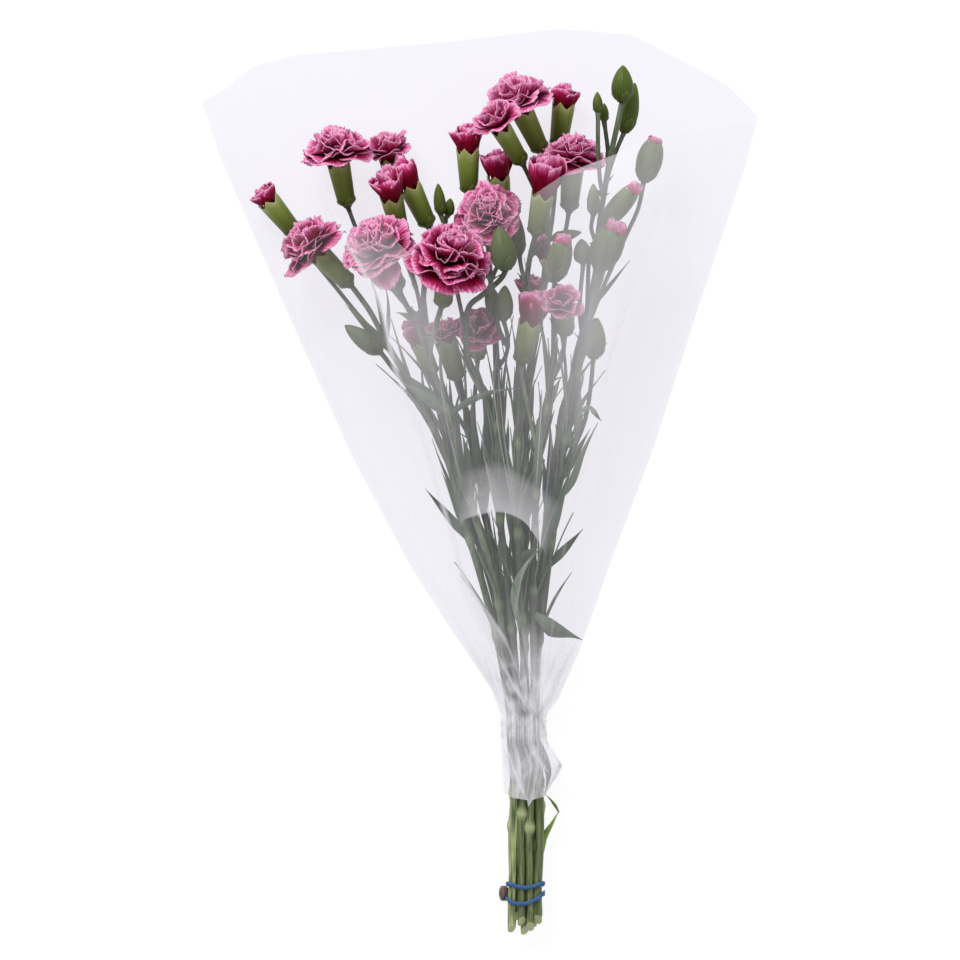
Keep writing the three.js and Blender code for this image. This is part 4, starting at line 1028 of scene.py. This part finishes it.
def close_leaves(path, draw):
    """More leaves, that lie close along the stem between its joints."""
    leaves = []
    for y in CLOSE_LEAVES_Y:
        broad = BROAD_Y[0] < y < BROAD_Y[1]
        # Leaves in that band of Y are drawn darker, as painted shade where they crowd together.
        dark = SHADED_LEAVES_Y[0] < y < SHADED_LEAVES_Y[1]
        t = path.at_y(y + draw.uniform(-10, 10))
        along = path.tangent(t)
        turn = draw.uniform(0, FULL_TURN)
        for angle in (turn, turn + math.pi):
            outward = square_to(along, angle)
            outward = unit(outward * np.array([1, 1, 0.4 if outward[2] < 0 else -0.4]))
            leaves.append(Leaf(
                root=path.at(t) + outward * STEM_TOP_RADIUS / 2, outward=outward,
                along=unit(along + outward * draw.uniform(0.0, 0.2 if broad else 0.08)),
                width=draw.uniform(*(BROAD_WIDTH if broad else NARROW_WIDTH)),
                length=draw.uniform(*CLOSE_LEAF_LENGTH), bend=draw.uniform(-0.08, 0.1),
                shade=draw.uniform(0.4, 1) if dark else draw.uniform(0, 0.8),
            ))
    return leaves


def spread(random, size):
    """The next of the part's own draws, as a number from -size to size."""
    return (next(random) * 2 - 1) * size


def placed_leaf(leaf, solid):
    """The leaf in the length, bend and turn in which the part's own spray has it, if it has it."""
    sideways = np.cross(leaf.along, leaf.outward)
    for length, bend, turn in product(TRIED_LENGTHS, TRIED_BENDS, TRIED_TURNS):
        outward = leaf.outward * math.cos(turn) + sideways * math.sin(turn)
        tried = Leaf(leaf.root, leaf.along, outward, leaf.length * length, leaf.bend * bend, leaf.width)
        spots = tried.spot([0.4, 1]) * MM + SHIFT
        if all(solid.find_nearest(Vector(spot))[3] < ON_SOLID * MM for spot in spots):
            return tried
    return None


def solid_of(node):
    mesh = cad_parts[node].data
    return BVHTree.FromPolygons([v.co for v in mesh.vertices], [p.vertices for p in mesh.polygons])


def given(value, otherwise):
    return otherwise if value is None else value


def build_sprays():
    """Each spray's green parts, all in one piece, as they grow."""
    random = source_random(SOURCE_SEED)
    draw = np.random.default_rng(SPRAY_SEED)
    for spray in SPRAYS:
        name = spray["name"]
        shape = Shape()
        paths = spray_paths(spray)
        solid = solid_of(name)
        shade = draw.uniform()
        add_stem(shape, spray, paths[0], shade, draw)
        for path in paths[1:]:
            add_shoot(shape, path, draw.uniform())
            add_bracts(shape, path, 0.5, draw)
        leaves = [single_leaf(*numbers, paths) for numbers in SINGLE_LEAVES.get(name, [])]
        for i, y in enumerate(y for y in spray["joints"] if y > BARE_BELOW):
            turn = (i % 2) * math.pi / 2 + spread(random, 0.5)
            leaves += paired_leaves(paths[0], y, turn, random)
        placed = [placed_leaf(leaf, solid) for leaf in leaves]
        for leaf in [*filter(None, placed), *close_leaves(paths[0], draw)]:
            add_leaf(shape, leaf, given(leaf.shade, draw.uniform(0, 0.9)))
        for width, own_shade, line in SEEN_LEAVES.get(name, []):
            add_seen_leaf(shape, line, width, own_shade)
        for head in heads_of(spray):
            if head.kind in ("open", "half_open"):
                add_calyx(shape, head, draw.uniform(0, 0.3))
            else:
                add_bud(shape, head, given(head.shade, draw.uniform(0.3, 1.0)))
        shape.build(f"green_{name}", [name], "stem", *GREENS)


# ---- Petals ----
PETAL_ROWS, PETAL_COLUMNS = 13, 31
PETAL_THICKNESS = 0.3
PETAL_FOOT = 0.22  # of a petal's length, below the calyx's rim
PETAL_SEED = 8


def add_petal(shape, place, draw, angle, opening, length, width, ruffle, waves, neck, curl, blunt=0.24,
              tone=1.0):
    """One petal: a claw out of the calyx that fans out to a crimped, ragged edge.

    opening is how far it leans out from the bloom's axis, in degrees, at its middle and edge. curl is
    the smallest radius that it bends to across, and a higher tone leaves a narrower pale edge; the
    front bloom's high tone is partly painted shade."""
    columns = PETAL_COLUMNS
    u = np.linspace(-1, 1, columns)
    ragged = 0.016 * draw.uniform(-1, 1, columns) + 0.012 * np.where(np.arange(columns) % 2, 1, -1)
    reach = 1 - blunt * np.abs(u) ** 2.6 + ragged * (1 - np.abs(u) ** 6)
    run = np.linspace(0, 1, PETAL_ROWS)[:, None] * reach[None, :]
    fine = np.linspace(0, 1.1, 60)
    middle_lean, edge_lean = np.radians(opening)
    turn = middle_lean * smooth_step(0.1, 0.5, fine)
    turn += (edge_lean - middle_lean) * smooth_step(0.45, 1, fine)
    step = length * (fine[1] - fine[0])
    out_line = neck + np.concatenate([[0], np.cumsum(np.sin(turn[1:]) * step)])
    up_line = -PETAL_FOOT * length + np.concatenate([[0], np.cumsum(np.cos(turn[1:]) * step)])
    out, up = np.interp(run, fine, out_line), np.interp(run, fine, up_line)
    lean = np.interp(run, fine, turn)
    side = width * (0.26 + 0.74 * smooth_step(0.08, 0.8, run)) * u[None, :]
    phase, second = draw.uniform(0, FULL_TURN, 2)
    fold = (np.sin(math.pi * waves * u + phase)[None, :] * 0.75
            + np.sin(math.pi * 2.4 * waves * u + second)[None, :] * 0.25
            + draw.normal(0, 0.025, columns)[None, :])
    lift = ruffle * fold * smooth_step(0.3, 1.0, run) ** 1.2
    radius = np.maximum(np.abs(out), curl)
    bend = np.clip(side / radius, -2.4, 2.4)
    inward = radius * (1 - np.cos(bend))
    side = radius * np.sin(bend) + draw.normal(0, 0.04) * run * length
    middle = place(out - inward + lift * np.cos(lean), side, up - lift * np.sin(lean), angle)
    places = places_of(u[None, :], (run / reach[None, :]) ** tone, draw.uniform())
    shape.blade(middle, np.full(run.shape, PETAL_THICKNESS), places)


def petal_place(head, rim):
    """Turns a petal's own sizes (out, sideways, up, and its angle) into points round the head."""
    base = head.base + head.axis * rim

    def place(out, side, up, angle):
        radial = square_to(head.axis, angle)
        across = np.cross(head.axis, radial)
        return base + out[..., None] * radial + side[..., None] * across + up[..., None] * head.axis
    return place


# Each ring of an open bloom's petals: how far they open (degrees), how many, their length, width
# and ruffle as shares of the bloom's radius, and the folds in each petal's edge.
OPEN_LAYERS = [
    (86, 5, 1.14, 0.8, 0.15, 1.0), (68, 6, 1.16, 0.7, 0.17, 1.2), (50, 6, 1.22, 0.6, 0.18, 1.4),
    (33, 6, 1.28, 0.52, 0.19, 1.6), (17, 5, 1.34, 0.46, 0.2, 1.8), (5, 3, 1.34, 0.4, 0.2, 2.0),
]
SMALL_LAYERS = [
    (62, 5, 1.2, 0.76, 0.15, 1.0), (38, 5, 1.34, 0.66, 0.17, 1.3), (15, 4, 1.42, 0.56, 0.18, 1.6),
]
SMALL_BLOOM = 13
DROOP = 1.34  # how much further out than its middle a petal's edge leans,
EDGE_LEAN = (-16, 16)  # and how much that varies, degrees
OVER_TEETH = 1.05  # of the calyx's length: where an open bloom's petals spread

# Single petals that stand out of their bloom, by the point that each one's edge reaches.
STRAY_PETALS = {
    "bloom_front_left": [([-50, 101, 58], 10)],
    "bloom_top_left_small": [([-42.5, 199, 17], 5)],
    "bloom_top_front": [([-4.5, 191.5, 62], 6.5)],
    "bloom_middle": [([0.5, 170.5, 31], 5.5), ([10.5, 163, 35], 5.5)],
}


def add_stray(shape, head, place, draw, tip, width):
    """A petal out of its bloom's middle to that point."""
    reach = np.array(tip, float) - head.base - head.axis * head.length * OVER_TEETH
    rise = float(np.dot(reach, head.axis))
    out = reach - rise * head.axis
    lean = math.degrees(math.atan2(np.linalg.norm(out), rise))
    add_petal(
        shape, place, draw, angle=math.atan2(np.dot(out, head.v), np.dot(out, head.u)),
        opening=(lean, lean + 14), length=float(np.linalg.norm(reach)) * 1.12, width=width,
        ruffle=width * 0.2, waves=1.2, neck=1.5, curl=width * 0.9,
    )


def grow_open_bloom(shape, head, draw):
    place = petal_place(head, head.length * OVER_TEETH)
    radius = head.radius
    layers = OPEN_LAYERS if radius > SMALL_BLOOM else SMALL_LAYERS
    for k, (opening, count, length, width, ruffle, waves) in enumerate(layers):
        for i in range(count):
            lean = opening + draw.uniform(-8, 8)
            add_petal(
                shape, place, draw,
                angle=(i + 0.5 * (k % 2) + draw.uniform(-0.18, 0.18)) * FULL_TURN / count,
                opening=(lean, lean * DROOP + draw.uniform(*EDGE_LEAN)),
                length=radius * length * draw.uniform(0.9, 1.04),
                width=radius * width * draw.uniform(0.85, 1.15),
                ruffle=radius * ruffle * draw.uniform(0.7, 1.3), waves=waves * draw.uniform(0.8, 1.2),
                neck=max(0.6, head.calyx * (0.84 - 0.17 * k)), curl=radius * 0.3, tone=head.tone,
            )
    for tip, width in STRAY_PETALS.get(head.node, []):
        add_stray(shape, head, place, draw, tip, width)


# Each ring of a half-open bloom's petals: how many, how far they lean out at their middle and at
# their edge (degrees), how far the edge may lean otherwise, and their length.
HALF_OPEN_LAYERS = [(5, 21, -22, 48, 1.08), (4, 13, -36, 40, 1.2), (3, 5, -30, 30, 1.28)]


def grow_half_open(shape, head, draw):
    place = petal_place(head, head.length * 0.98)
    height = 2 * (head.span - head.length)
    width = max(head.radius, head.calyx)
    for k, (count, middle, edge, vary, length) in enumerate(HALF_OPEN_LAYERS):
        for i in range(count):
            add_petal(
                shape, place, draw, angle=(i + 0.5 * k + draw.uniform(-0.12, 0.12)) * FULL_TURN / count,
                opening=(middle + draw.uniform(-6, 6), edge + draw.uniform(-0.4, 1) * vary),
                length=(height + 1.5) * length * draw.uniform(0.84, 1.06),
                width=width * (0.98 - 0.12 * k) * draw.uniform(0.85, 1.1), ruffle=width * 0.17,
                waves=1.0 + 0.4 * k, neck=head.calyx * (0.86 - 0.26 * k), curl=width * (0.84 - 0.2 * k),
                blunt=0.2, tone=2.3,
            )


def grow_bud_tip(shape, head, draw):
    place = petal_place(head, head.rim * head.span)
    height = (1.04 - head.rim) * head.span
    width = float(bud_width(head, head.rim))
    for k, count in enumerate((5, 4)):
        for i in range(count):
            add_petal(
                shape, place, draw, angle=(i + 0.5 * k) * FULL_TURN / count,
                opening=(-14 - 10 * k, -76 + draw.uniform(-6, 30)),
                length=height * (1.7 - 0.1 * k) * draw.uniform(0.9, 1.1), width=width * 0.9,
                ruffle=width * 0.1, waves=1.6, neck=width * (0.9 - 0.3 * k), curl=width * 0.8, tone=0.5,
            )


def build_petals():
    """One piece for each bloom, and for each split bud's tip."""
    grow = {"open": grow_open_bloom, "half_open": grow_half_open, "split": grow_bud_tip}
    draw = np.random.default_rng(PETAL_SEED)
    for spray in SPRAYS:
        for head in heads_of(spray):
            if head.kind in grow:
                shape = Shape()
                grow[head.kind](shape, head, draw)
                name = f"petals_{head.node.removeprefix('bloom_')}"
                shape.build(name, [head.node], "petal", PETAL)


# ---- Sleeve ----
def front_profile(share):
    """How high the front film stands across the sleeve: nearly flat between two bends, 1 on top."""
    s = np.abs(share)
    steep = 0.9 * (np.clip(1 - s, 0, 1) / (1 - FRONT_CREASE)) ** 0.35
    return np.where(s <= FRONT_CREASE, 1 - 0.1 * (s / FRONT_CREASE) ** 2, steep)


def sleeve_point(share, y, front, inset):
    """A point of the sleeve, that far inside its outer face."""
    left, right = interpolate(LEFT_SEAM, y), interpolate(RIGHT_SEAM, y)
    x = (left + right) / 2 + ((right - left) / 2 - max(inset, 0)) * share
    lift = clamped(BACK_LIFT, y)
    rise = (clamped(SLEEVE_HEIGHT, y) - SEAM_HEIGHT) * front_profile(share)
    z = np.where(front, lift + SEAM_HEIGHT + rise - inset, lift + inset)
    return np.stack(np.broadcast_arrays(x, y, z), axis=-1)


def share_at(x, y):
    """Where a point of the front film is between the seams, from -1 to 1."""
    left, right = interpolate(LEFT_SEAM, y), interpolate(RIGHT_SEAM, y)
    return np.clip((2 * x - left - right) / (right - left), -0.98, 0.98)


def film_rows(bottom, top, count=150):
    t = np.linspace(0, 1, count)[:, None]
    return bottom + (top - bottom) * t


# The front film is a net whose columns run from the left seam, 0, to the right one, 1, and follow the
# two long creases on the way. These parts of the columns lie left of, between and right of them.
LEFT_PART, MIDDLE_PART, RIGHT_PART = 0.3, 0.5, 0.2
AT_LEFT, AT_RIGHT = LEFT_PART, LEFT_PART + MIDDLE_PART
PAST_CREASE = 0.001  # to the next column, so that the haze changes at once


def front_film(shape):
    """The front panel, from the skirt below the tape up to its own lower edge."""
    columns = np.concatenate([
        np.linspace(0, AT_LEFT, 34), np.linspace(AT_LEFT + PAST_CREASE, AT_RIGHT, 60),
        np.linspace(AT_RIGHT + PAST_CREASE, 1, 30),
    ])
    guess = np.interp(columns, [0, AT_LEFT, AT_RIGHT, 1], [-1, -0.55, 0.45, 1])
    top, bottom = interpolate(FRONT_EDGE, guess), interpolate(SKIRT_EDGE, guess)
    for _ in range(4):
        y = film_rows(bottom, top)
        left, right = share_at(clamped(LEFT_CREASE, y), y), share_at(clamped(RIGHT_CREASE, y), y)
        outer_left = -1 + (left + 1) * columns / LEFT_PART
        centre = left + (right - left) * (columns - AT_LEFT) / MIDDLE_PART
        outer_right = right + (1 - right) * (columns - AT_RIGHT) / RIGHT_PART
        share = np.where(columns < AT_LEFT, outer_left, np.where(columns < AT_RIGHT, centre, outer_right))
        top, bottom = interpolate(FRONT_EDGE, share[-1]), interpolate(SKIRT_EDGE, share[0])
    y = film_rows(bottom, top)
    points = sleeve_point(share, y, True, FILM_THICKNESS / 2)
    glare_and_haze = film_glare_and_haze(share, points, columns)
    shape.grid(points, places_of(glare_and_haze, 0.1, crumpled(points[..., 1])))


def crumpled(y):
    """How crumpled the film is: all of it below the waist's gathers, and none above them."""
    return 1 - smooth_step(-112, -84, y)


# How much the front film hides, which is painted glare in place of the lights' reflection and,
# where the film is gathered, its own haze: by Y between its creases and beside them, and how much
# more of it by X above its middle.
CENTRE_GLARE_AND_HAZE = [
    (-184, 0.34), (-165, 0.32), (-150, 0.4), (-135, 0.6), (-112, 0.42), (-90, 0.2), (-60, 0.09),
    (-20, 0.08), (30, 0.15), (75, 0.21), (100, 0.18), (122, 0.12), (200, 0.12),
]
SIDE_GLARE_AND_HAZE = [
    (-184, 0.4), (-150, 0.44), (-135, 0.55), (-112, 0.34), (-90, 0.18), (-60, 0.08), (0, 0.06),
    (60, 0.13), (100, 0.14), (125, 0.05), (200, 0.04),
]
GLARE_AND_HAZE_ACROSS = [
    (-60, 0.08), (-30, 0.08), (-12, 0.0), (8, -0.08), (24, -0.02), (33, 0.08), (43, 0.08),
    (54, 0.19), (68, 0.2), (80, 0.19), (100, 0.12),
]
CREASE_GLARE = 0.16  # painted highlight: more beside the left crease,
CREASE_REACH = 16  # fading over that far from it


def film_glare_and_haze(share, points, columns):
    """How much the front film hides at each of its points: painted glare, with its own haze where it is
    gathered.
    """
    x, y = points[..., 0], points[..., 1]
    half = PAST_CREASE / 2
    centre = ((columns >= AT_LEFT + half) & (columns <= AT_RIGHT + half))[None, :]
    middle_glare_and_haze = clamped(CENTRE_GLARE_AND_HAZE, y) + clamped(GLARE_AND_HAZE_ACROSS, x) * smooth_step(-10, 50, y)
    glare_and_haze = np.where(centre, middle_glare_and_haze, clamped(SIDE_GLARE_AND_HAZE, y))
    from_crease = np.clip(x - clamped(LEFT_CREASE, y), 0, None)
    beside = np.exp(-from_crease / CREASE_REACH) * smooth_step(40, 90, y) * (1 - smooth_step(128, 146, y))
    left_corner = 1 - 0.85 * smooth_step(126, 146, y) * (1 - smooth_step(-40, 0, x))
    streaks = 1 + (0.2 + 0.4 * crumpled(y)) * film_glare_streaks(share, y)
    return (glare_and_haze + CREASE_GLARE * centre * beside) * left_corner * streaks * (1 - clear_spots(x, y))


# Spots where the film's painted glare and haze are weaker, so that the stems behind show darker:
# X, Y, half length across and along, and how much.
CLEAR_SPOTS = [(13.5, -109, 2.2, 5.0, 0.45), (18.5, -121.5, 3.0, 2.6, 0.8), (25, -131, 3.4, 2.2, 0.5),
               (31, -121, 1.6, 5.0, 0.4)]


def clear_spots(x, y):
    return sum(much * np.exp(-((x - at_x) / wide) ** 2 - ((y - at_y) / tall) ** 2)
               for at_x, at_y, wide, tall, much in CLEAR_SPOTS)


def film_glare_streaks(share, y):
    """Painted streaks of brighter and fainter glare that fan out from the waist, from about -1 to 1."""
    waves = [(9, 0.4, 1), (17, 2.1, -1), (31, 4.4, 2), (53, 1.3, -2), (88, 3.2, 1)]
    return sum(np.sin(share * fine + phase + 0.006 * y * turn) for fine, phase, turn in waves) / 4


def back_film(shape):
    share = np.linspace(-1, 1, 90)[None, :]
    y = film_rows(interpolate(SKIRT_EDGE, share[0]), interpolate(BACK_EDGE, share[0]))
    points = sleeve_point(share, y, False, FILM_THICKNESS / 2)
    shape.grid(points, places_of(0.02, 1.0, 0.0))


# Painted highlights along folds in the front film: where each runs, its half width, and how much it hides.
FOLD_HIGHLIGHTS = [
    ([(-92.4, 173.6), (-78.4, 142.8), (-74.2, 131.6), (-56, 98), (-47.6, 61.6), (-34, 28), (-22, -11),
      (-15, -33), (-9.4, -54), (4.6, -75.6), (14, -90), (28, -128)], 2.0, 0.62),
    ([(87, 111), (82, 95), (74, 73), (62, 17), (53, -11), (44, -60), (36, -120)], 1.4, 0.16),
    ([(34, -36), (25, -49), (21, -66), (18.6, -83)], 0.9, 0.2),
    ([(6, 69), (10, 30), (18.7, -18)], 0.5, 0.34),
    ([(9, 72), (14, 20), (22, -30)], 0.4, 0.3),
    ([(-2, 60), (3, 10), (10, -19)], 0.5, 0.26),
    ([(-24, 64), (-18, 30), (-8, -10)], 0.5, 0.24),
    ([(36, 63), (33, 20), (31, -9)], 0.5, 0.34),
    ([(44, 70), (40, 20), (36, -20)], 0.6, 0.26),
    ([(-130, 150), (-104, 90), (-70, 20), (-38, -40), (-8, -90), (12, -128)], 2.4, 0.05),
    ([(8.4, -95), (18, -114), (29, -131.6)], 1.5, 0.5),
    ([(7.8, -107.5), (13, -120), (21, -136)], 1.6, 0.5),
    ([(2, -100), (8, -116), (16, -133)], 1.2, 0.34),
    ([(34, -92), (34, -112), (30, -133)], 1.6, 0.4),
    ([(44, -96), (38, -112), (31, -133)], 1.4, 0.34),
    ([(56, -88), (44, -112), (34, -134)], 1.8, 0.3),
    ([(14, -148), (19, -163), (26, -180)], 1.6, 0.55),
    ([(28, -149), (33, -158), (40, -166)], 1.4, 0.4),
    ([(20, -148), (22, -160), (23, -176)], 1.2, 0.4),
    ([(33, -148), (32, -160), (30, -174)], 1.5, 0.34),
    ([(13, -150), (15, -160), (19, -171)], 1.3, 0.3),
]
FOLD_LIFT = 0.15  # of a fold's painted highlight off the film
GLARE_LIFT = 0.1

# Painted glare, in place of the lights' reflection: bright patches where the film bends, from a sharp
# edge to a faint one, and how much each hides.
GLARE_PATCHES = [
    ([(-13, -30), (-9.3, -23), (-3, -20.5), (4, -19), (12.4, -18.4), (18, -20), (25, -24), (29, -29),
      (33.4, -36), (38, -44)],
     [(-15, 2), (-8, 6.5), (0, 8.6), (9.3, 11), (16, 8.5), (24, 3.5), (34, -2), (41, -8), (50, -14)], 0.5),
    ([(-38, 40), (-28, 14), (-20, -8), (-14, -31), (-9, -54)],
     [(-4, 40), (-2, 14), (2, -8), (4, -20), (6, -54)], 0.08),
    ([(-13, -42), (-8, -53), (3.6, -75.6), (9.9, -83.2), (17.2, -90.5)],
     [(-17, -46), (-14.3, -57), (-2, -82), (4.8, -94), (11, -106)], 0.5),
    ([(22, -78), (25.5, -100), (31, -124)], [(32, -78), (34, -100), (36.5, -124)], 0.34),
]
GLARE_PROFILE = [(0, 0), (0.02, 0.85), (0.06, 1), (0.3, 0.8), (0.6, 0.6), (0.8, 0.45), (0.9, 0.22), (1, 0)]


def on_film(x, y, lift=FOLD_LIFT):
    return sleeve_point(share_at(x, y), y, True, FILM_THICKNESS / 2 - lift)


def add_fold_highlight(shape, line, half_width, glare_and_haze):
    """A painted highlight along a fold: a narrow bright strip on the film, that fades at its sides and
    ends.
    """
    path = Path([(x, y, 0) for x, y in line])
    t = np.linspace(0, 1, max(8, int(path.length / 2.5)))
    spots = path.at(t)
    tangent = unit(np.gradient(spots, axis=0))
    side = np.stack([-tangent[:, 1], tangent[:, 0]], axis=-1)
    across = np.array([-1, -0.45, 0, 0.45, 1])
    width = half_width * np.clip(4 * np.minimum(t + 0.05, 1.05 - t), 0, 1)
    flat = spots[:, None, :2] + side[:, None] * (across[None, :] * width[:, None])[..., None]
    ends = np.clip(6 * np.minimum(t, 1 - t), 0, 1)
    strength = glare_and_haze * np.array([0, 0.6, 1, 0.6, 0])[None, :] * ends[:, None]
    shape.grid(on_film(flat[..., 0], flat[..., 1]), places_of(strength, 0.0, crumpled(flat[..., 1])))


def add_glare_patch(shape, edge, far, glare_and_haze):
    """A patch of painted glare on the film: sharp at one edge, and fading towards the other."""
    t = np.linspace(0, 1, 48)
    near, away = (Path([(x, y, 0) for x, y in line]).at(t)[:, :2] for line in (edge, far))
    across, profile = np.array(GLARE_PROFILE).T
    flat = near[None] + (away - near)[None] * across[:, None, None]
    ends = smooth_step(0, 0.24, t) * (1 - smooth_step(0.8, 1, t))
    strength = glare_and_haze * profile[:, None] * ends[None, :]
    shape.grid(on_film(flat[..., 0], flat[..., 1], GLARE_LIFT), places_of(strength, 0.0, 0.0))


def build_film():
    shape = Shape()
    front_film(shape)
    back_film(shape)
    for line, half_width, glare_and_haze in FOLD_HIGHLIGHTS:
        add_fold_highlight(shape, line, half_width, glare_and_haze)
    for edge, far, glare_and_haze in GLARE_PATCHES:
        add_glare_patch(shape, edge, far, glare_and_haze)
    film = shape.build("film", ["sleeve"], "film", film_material())


# ---- Tape, band and dried leaf ----
TAPE_COLUMNS = 60  # across each side of the sleeve
TAPE_OFF_FILM = 0.6
TAPE_FADE = 2.5  # from its edges inwards
TAPE_SEED = 4


def build_tape():
    shape = Shape()
    across = np.linspace(-1, 1, TAPE_COLUMNS)
    share = np.concatenate([across, across[::-1]])[None, :]
    front = np.arange(2 * TAPE_COLUMNS)[None, :] < TAPE_COLUMNS
    low, high = TAPE_Y
    y = np.linspace(low, high, 16)[:, None]
    points = sleeve_point(share, y, front, -TAPE_OFF_FILM)
    rough = np.random.default_rng(TAPE_SEED).normal(0, 0.12, points.shape)
    whole = smooth_step(low, low + TAPE_FADE, y) * (1 - smooth_step(high - TAPE_FADE, high, y))
    shape.grid(points + rough, places_of(whole + 0 * share, 0.0, 0.0), wrap=True)
    shape.build("tape", ["sleeve_tape"], "tape", tape_material())


def band_path(front_y, back_y, tilt, sag):
    """One turn of the band round the bundle's corners, sagging and tilted across its front."""
    corners = [(3, 2), (-3, 2), (-3, 0), (3, 0)]  # slots of the bundle's corner stems
    out = STEM_RADIUS + BAND_GAP + BAND_THICKNESS / 2
    points = []
    for i, corner in enumerate(corners):
        for degrees in np.linspace(2, 88, 12):
            angle = math.radians(i * 90 + degrees)
            outward = np.array([math.cos(angle), 0, math.sin(angle)])
            y = (front_y + back_y) / 2 + (front_y - back_y) / 2 * math.sin(angle)
            points.append(bundle_point(corner, y) + outward * out)
    line = catmull_rom([*points, points[0]], 4)
    share = (line[:, 0] - clamped(BUNDLE_MIDDLE, front_y)) / (1.5 * STEM_PITCH + out)
    on_front = smooth_step(BUNDLE_HEIGHT - ROW_PITCH, BUNDLE_HEIGHT + ROW_PITCH, line[:, 2])
    line[:, 1] += on_front * (tilt * share - sag * (1 - share**2))
    return line


def build_band():
    shape = Shape()
    for front_y, back_y, tilt, sag in zip(BAND_FRONT, BAND_BACK, BAND_TILT, BAND_SAG):
        line = band_path(front_y, back_y, tilt, sag)
        tangent = unit(np.gradient(line, axis=0))
        along = unit(np.array([0, 1.0, 0]) - tangent * tangent[:, 1:2])
        outward = np.cross(along, tangent)
        angle = angles_round(14)[None, :, None]
        flat = np.cos(angle) * BAND_WIDTH / 2 * along[:, None]
        thick = np.sin(angle) * BAND_THICKNESS / 2 * outward[:, None]
        shape.grid(line[:, None] + flat + thick, places_of(0.0, 0.0, 0.0), wrap=True)
    shape.build("band", ["rubber_band"], "band", rubber_material())


def build_dried_base():
    """A thin leaf base rolled up round a line along the stems."""
    shape = Shape()
    t = np.linspace(-1, 1, 16)[:, None]
    turn = np.linspace(0, 2.6 * math.pi, 60)[None, :]
    radius = CURL_RADIUS * np.sqrt(np.clip(1 - 0.8 * t**2, 0, 1)) * (0.45 + 0.55 * turn / turn.max())
    radius = radius * (1 + 0.05 * np.sin(9 * turn))
    x, y, z = DRIED_BASE
    middle = np.stack(np.broadcast_arrays(
        x + np.cos(turn) * radius, y + CURL_HALF_LENGTH * t, z + np.sin(turn) * radius), axis=-1)
    shape.blade(middle, np.full(middle.shape[:2], 0.35), places_of(0.0 * turn, t, 0.0))
    shape.build("dried_base", ["dried_leaf_base"], "dry_leaf", dried_material())


build_sprays()
build_petals()
build_film()
build_tape()
build_band()
build_dried_base()


# ---- Floor, light and camera ----
FLOOR_HALF = 4.0  # metres
FLOOR_HEIGHT = -0.0005  # metres, just under the bunch


def add_floor():
    """A pale floor just under the bunch, that glows nearly white so that only soft shadows show."""
    mesh = bpy.data.meshes.new("floor")
    corners = [(x * FLOOR_HALF, y * FLOOR_HALF, 0) for x, y in ((-1, -1), (1, -1), (1, 1), (-1, 1))]
    mesh.from_pydata(corners, [], [(0, 1, 2, 3)])
    m = Material("floor_pale")
    m.set(base_color=(0.12, 0.12, 0.12, 1.0), roughness=0.9, emission_color=WHITE, emission_strength=0.9)
    mesh.materials.append(m.material)
    floor = bpy.data.objects.new("floor", mesh)
    floor.location.z = FLOOR_HEIGHT
    bpy.context.scene.collection.objects.link(floor)


def add_light(name, place, power, size):
    """A square light that faces the bunch."""
    light = bpy.data.lights.new(name, "AREA")
    light.energy = power
    light.size = size
    lamp = bpy.data.objects.new(name, light)
    lamp.location = place
    lamp.rotation_euler = (-Vector(place)).to_track_quat("-Z", "Y").to_euler()
    bpy.context.scene.collection.objects.link(lamp)


def add_camera():
    camera = bpy.data.cameras.new("camera")
    camera.sensor_width = SENSOR
    camera.lens = SENSOR * (CAMERA_HEIGHT - SHARP_HEIGHT) / PHOTO_SPAN
    camera.clip_end = 100
    eye = bpy.data.objects.new("camera", camera)
    eye.location = (0, SHIFT[1], CAMERA_HEIGHT * MM)
    bpy.context.scene.collection.objects.link(eye)
    bpy.context.scene.camera = eye


def set_world():
    world = bpy.data.worlds.new("studio")
    world.use_nodes = True
    background = world.node_tree.nodes["Background"]
    background.inputs["Color"].default_value = WHITE
    background.inputs["Strength"].default_value = 0.5
    bpy.context.scene.world = world


add_floor()
add_light("key_light", (-0.7, 1.5, 1.3), 34, 1.0)
add_light("fill_light", (1.2, -0.4, 1.4), 6, 1.6)
add_camera()
set_world()
bpy.context.scene.view_settings.view_transform = "Standard"
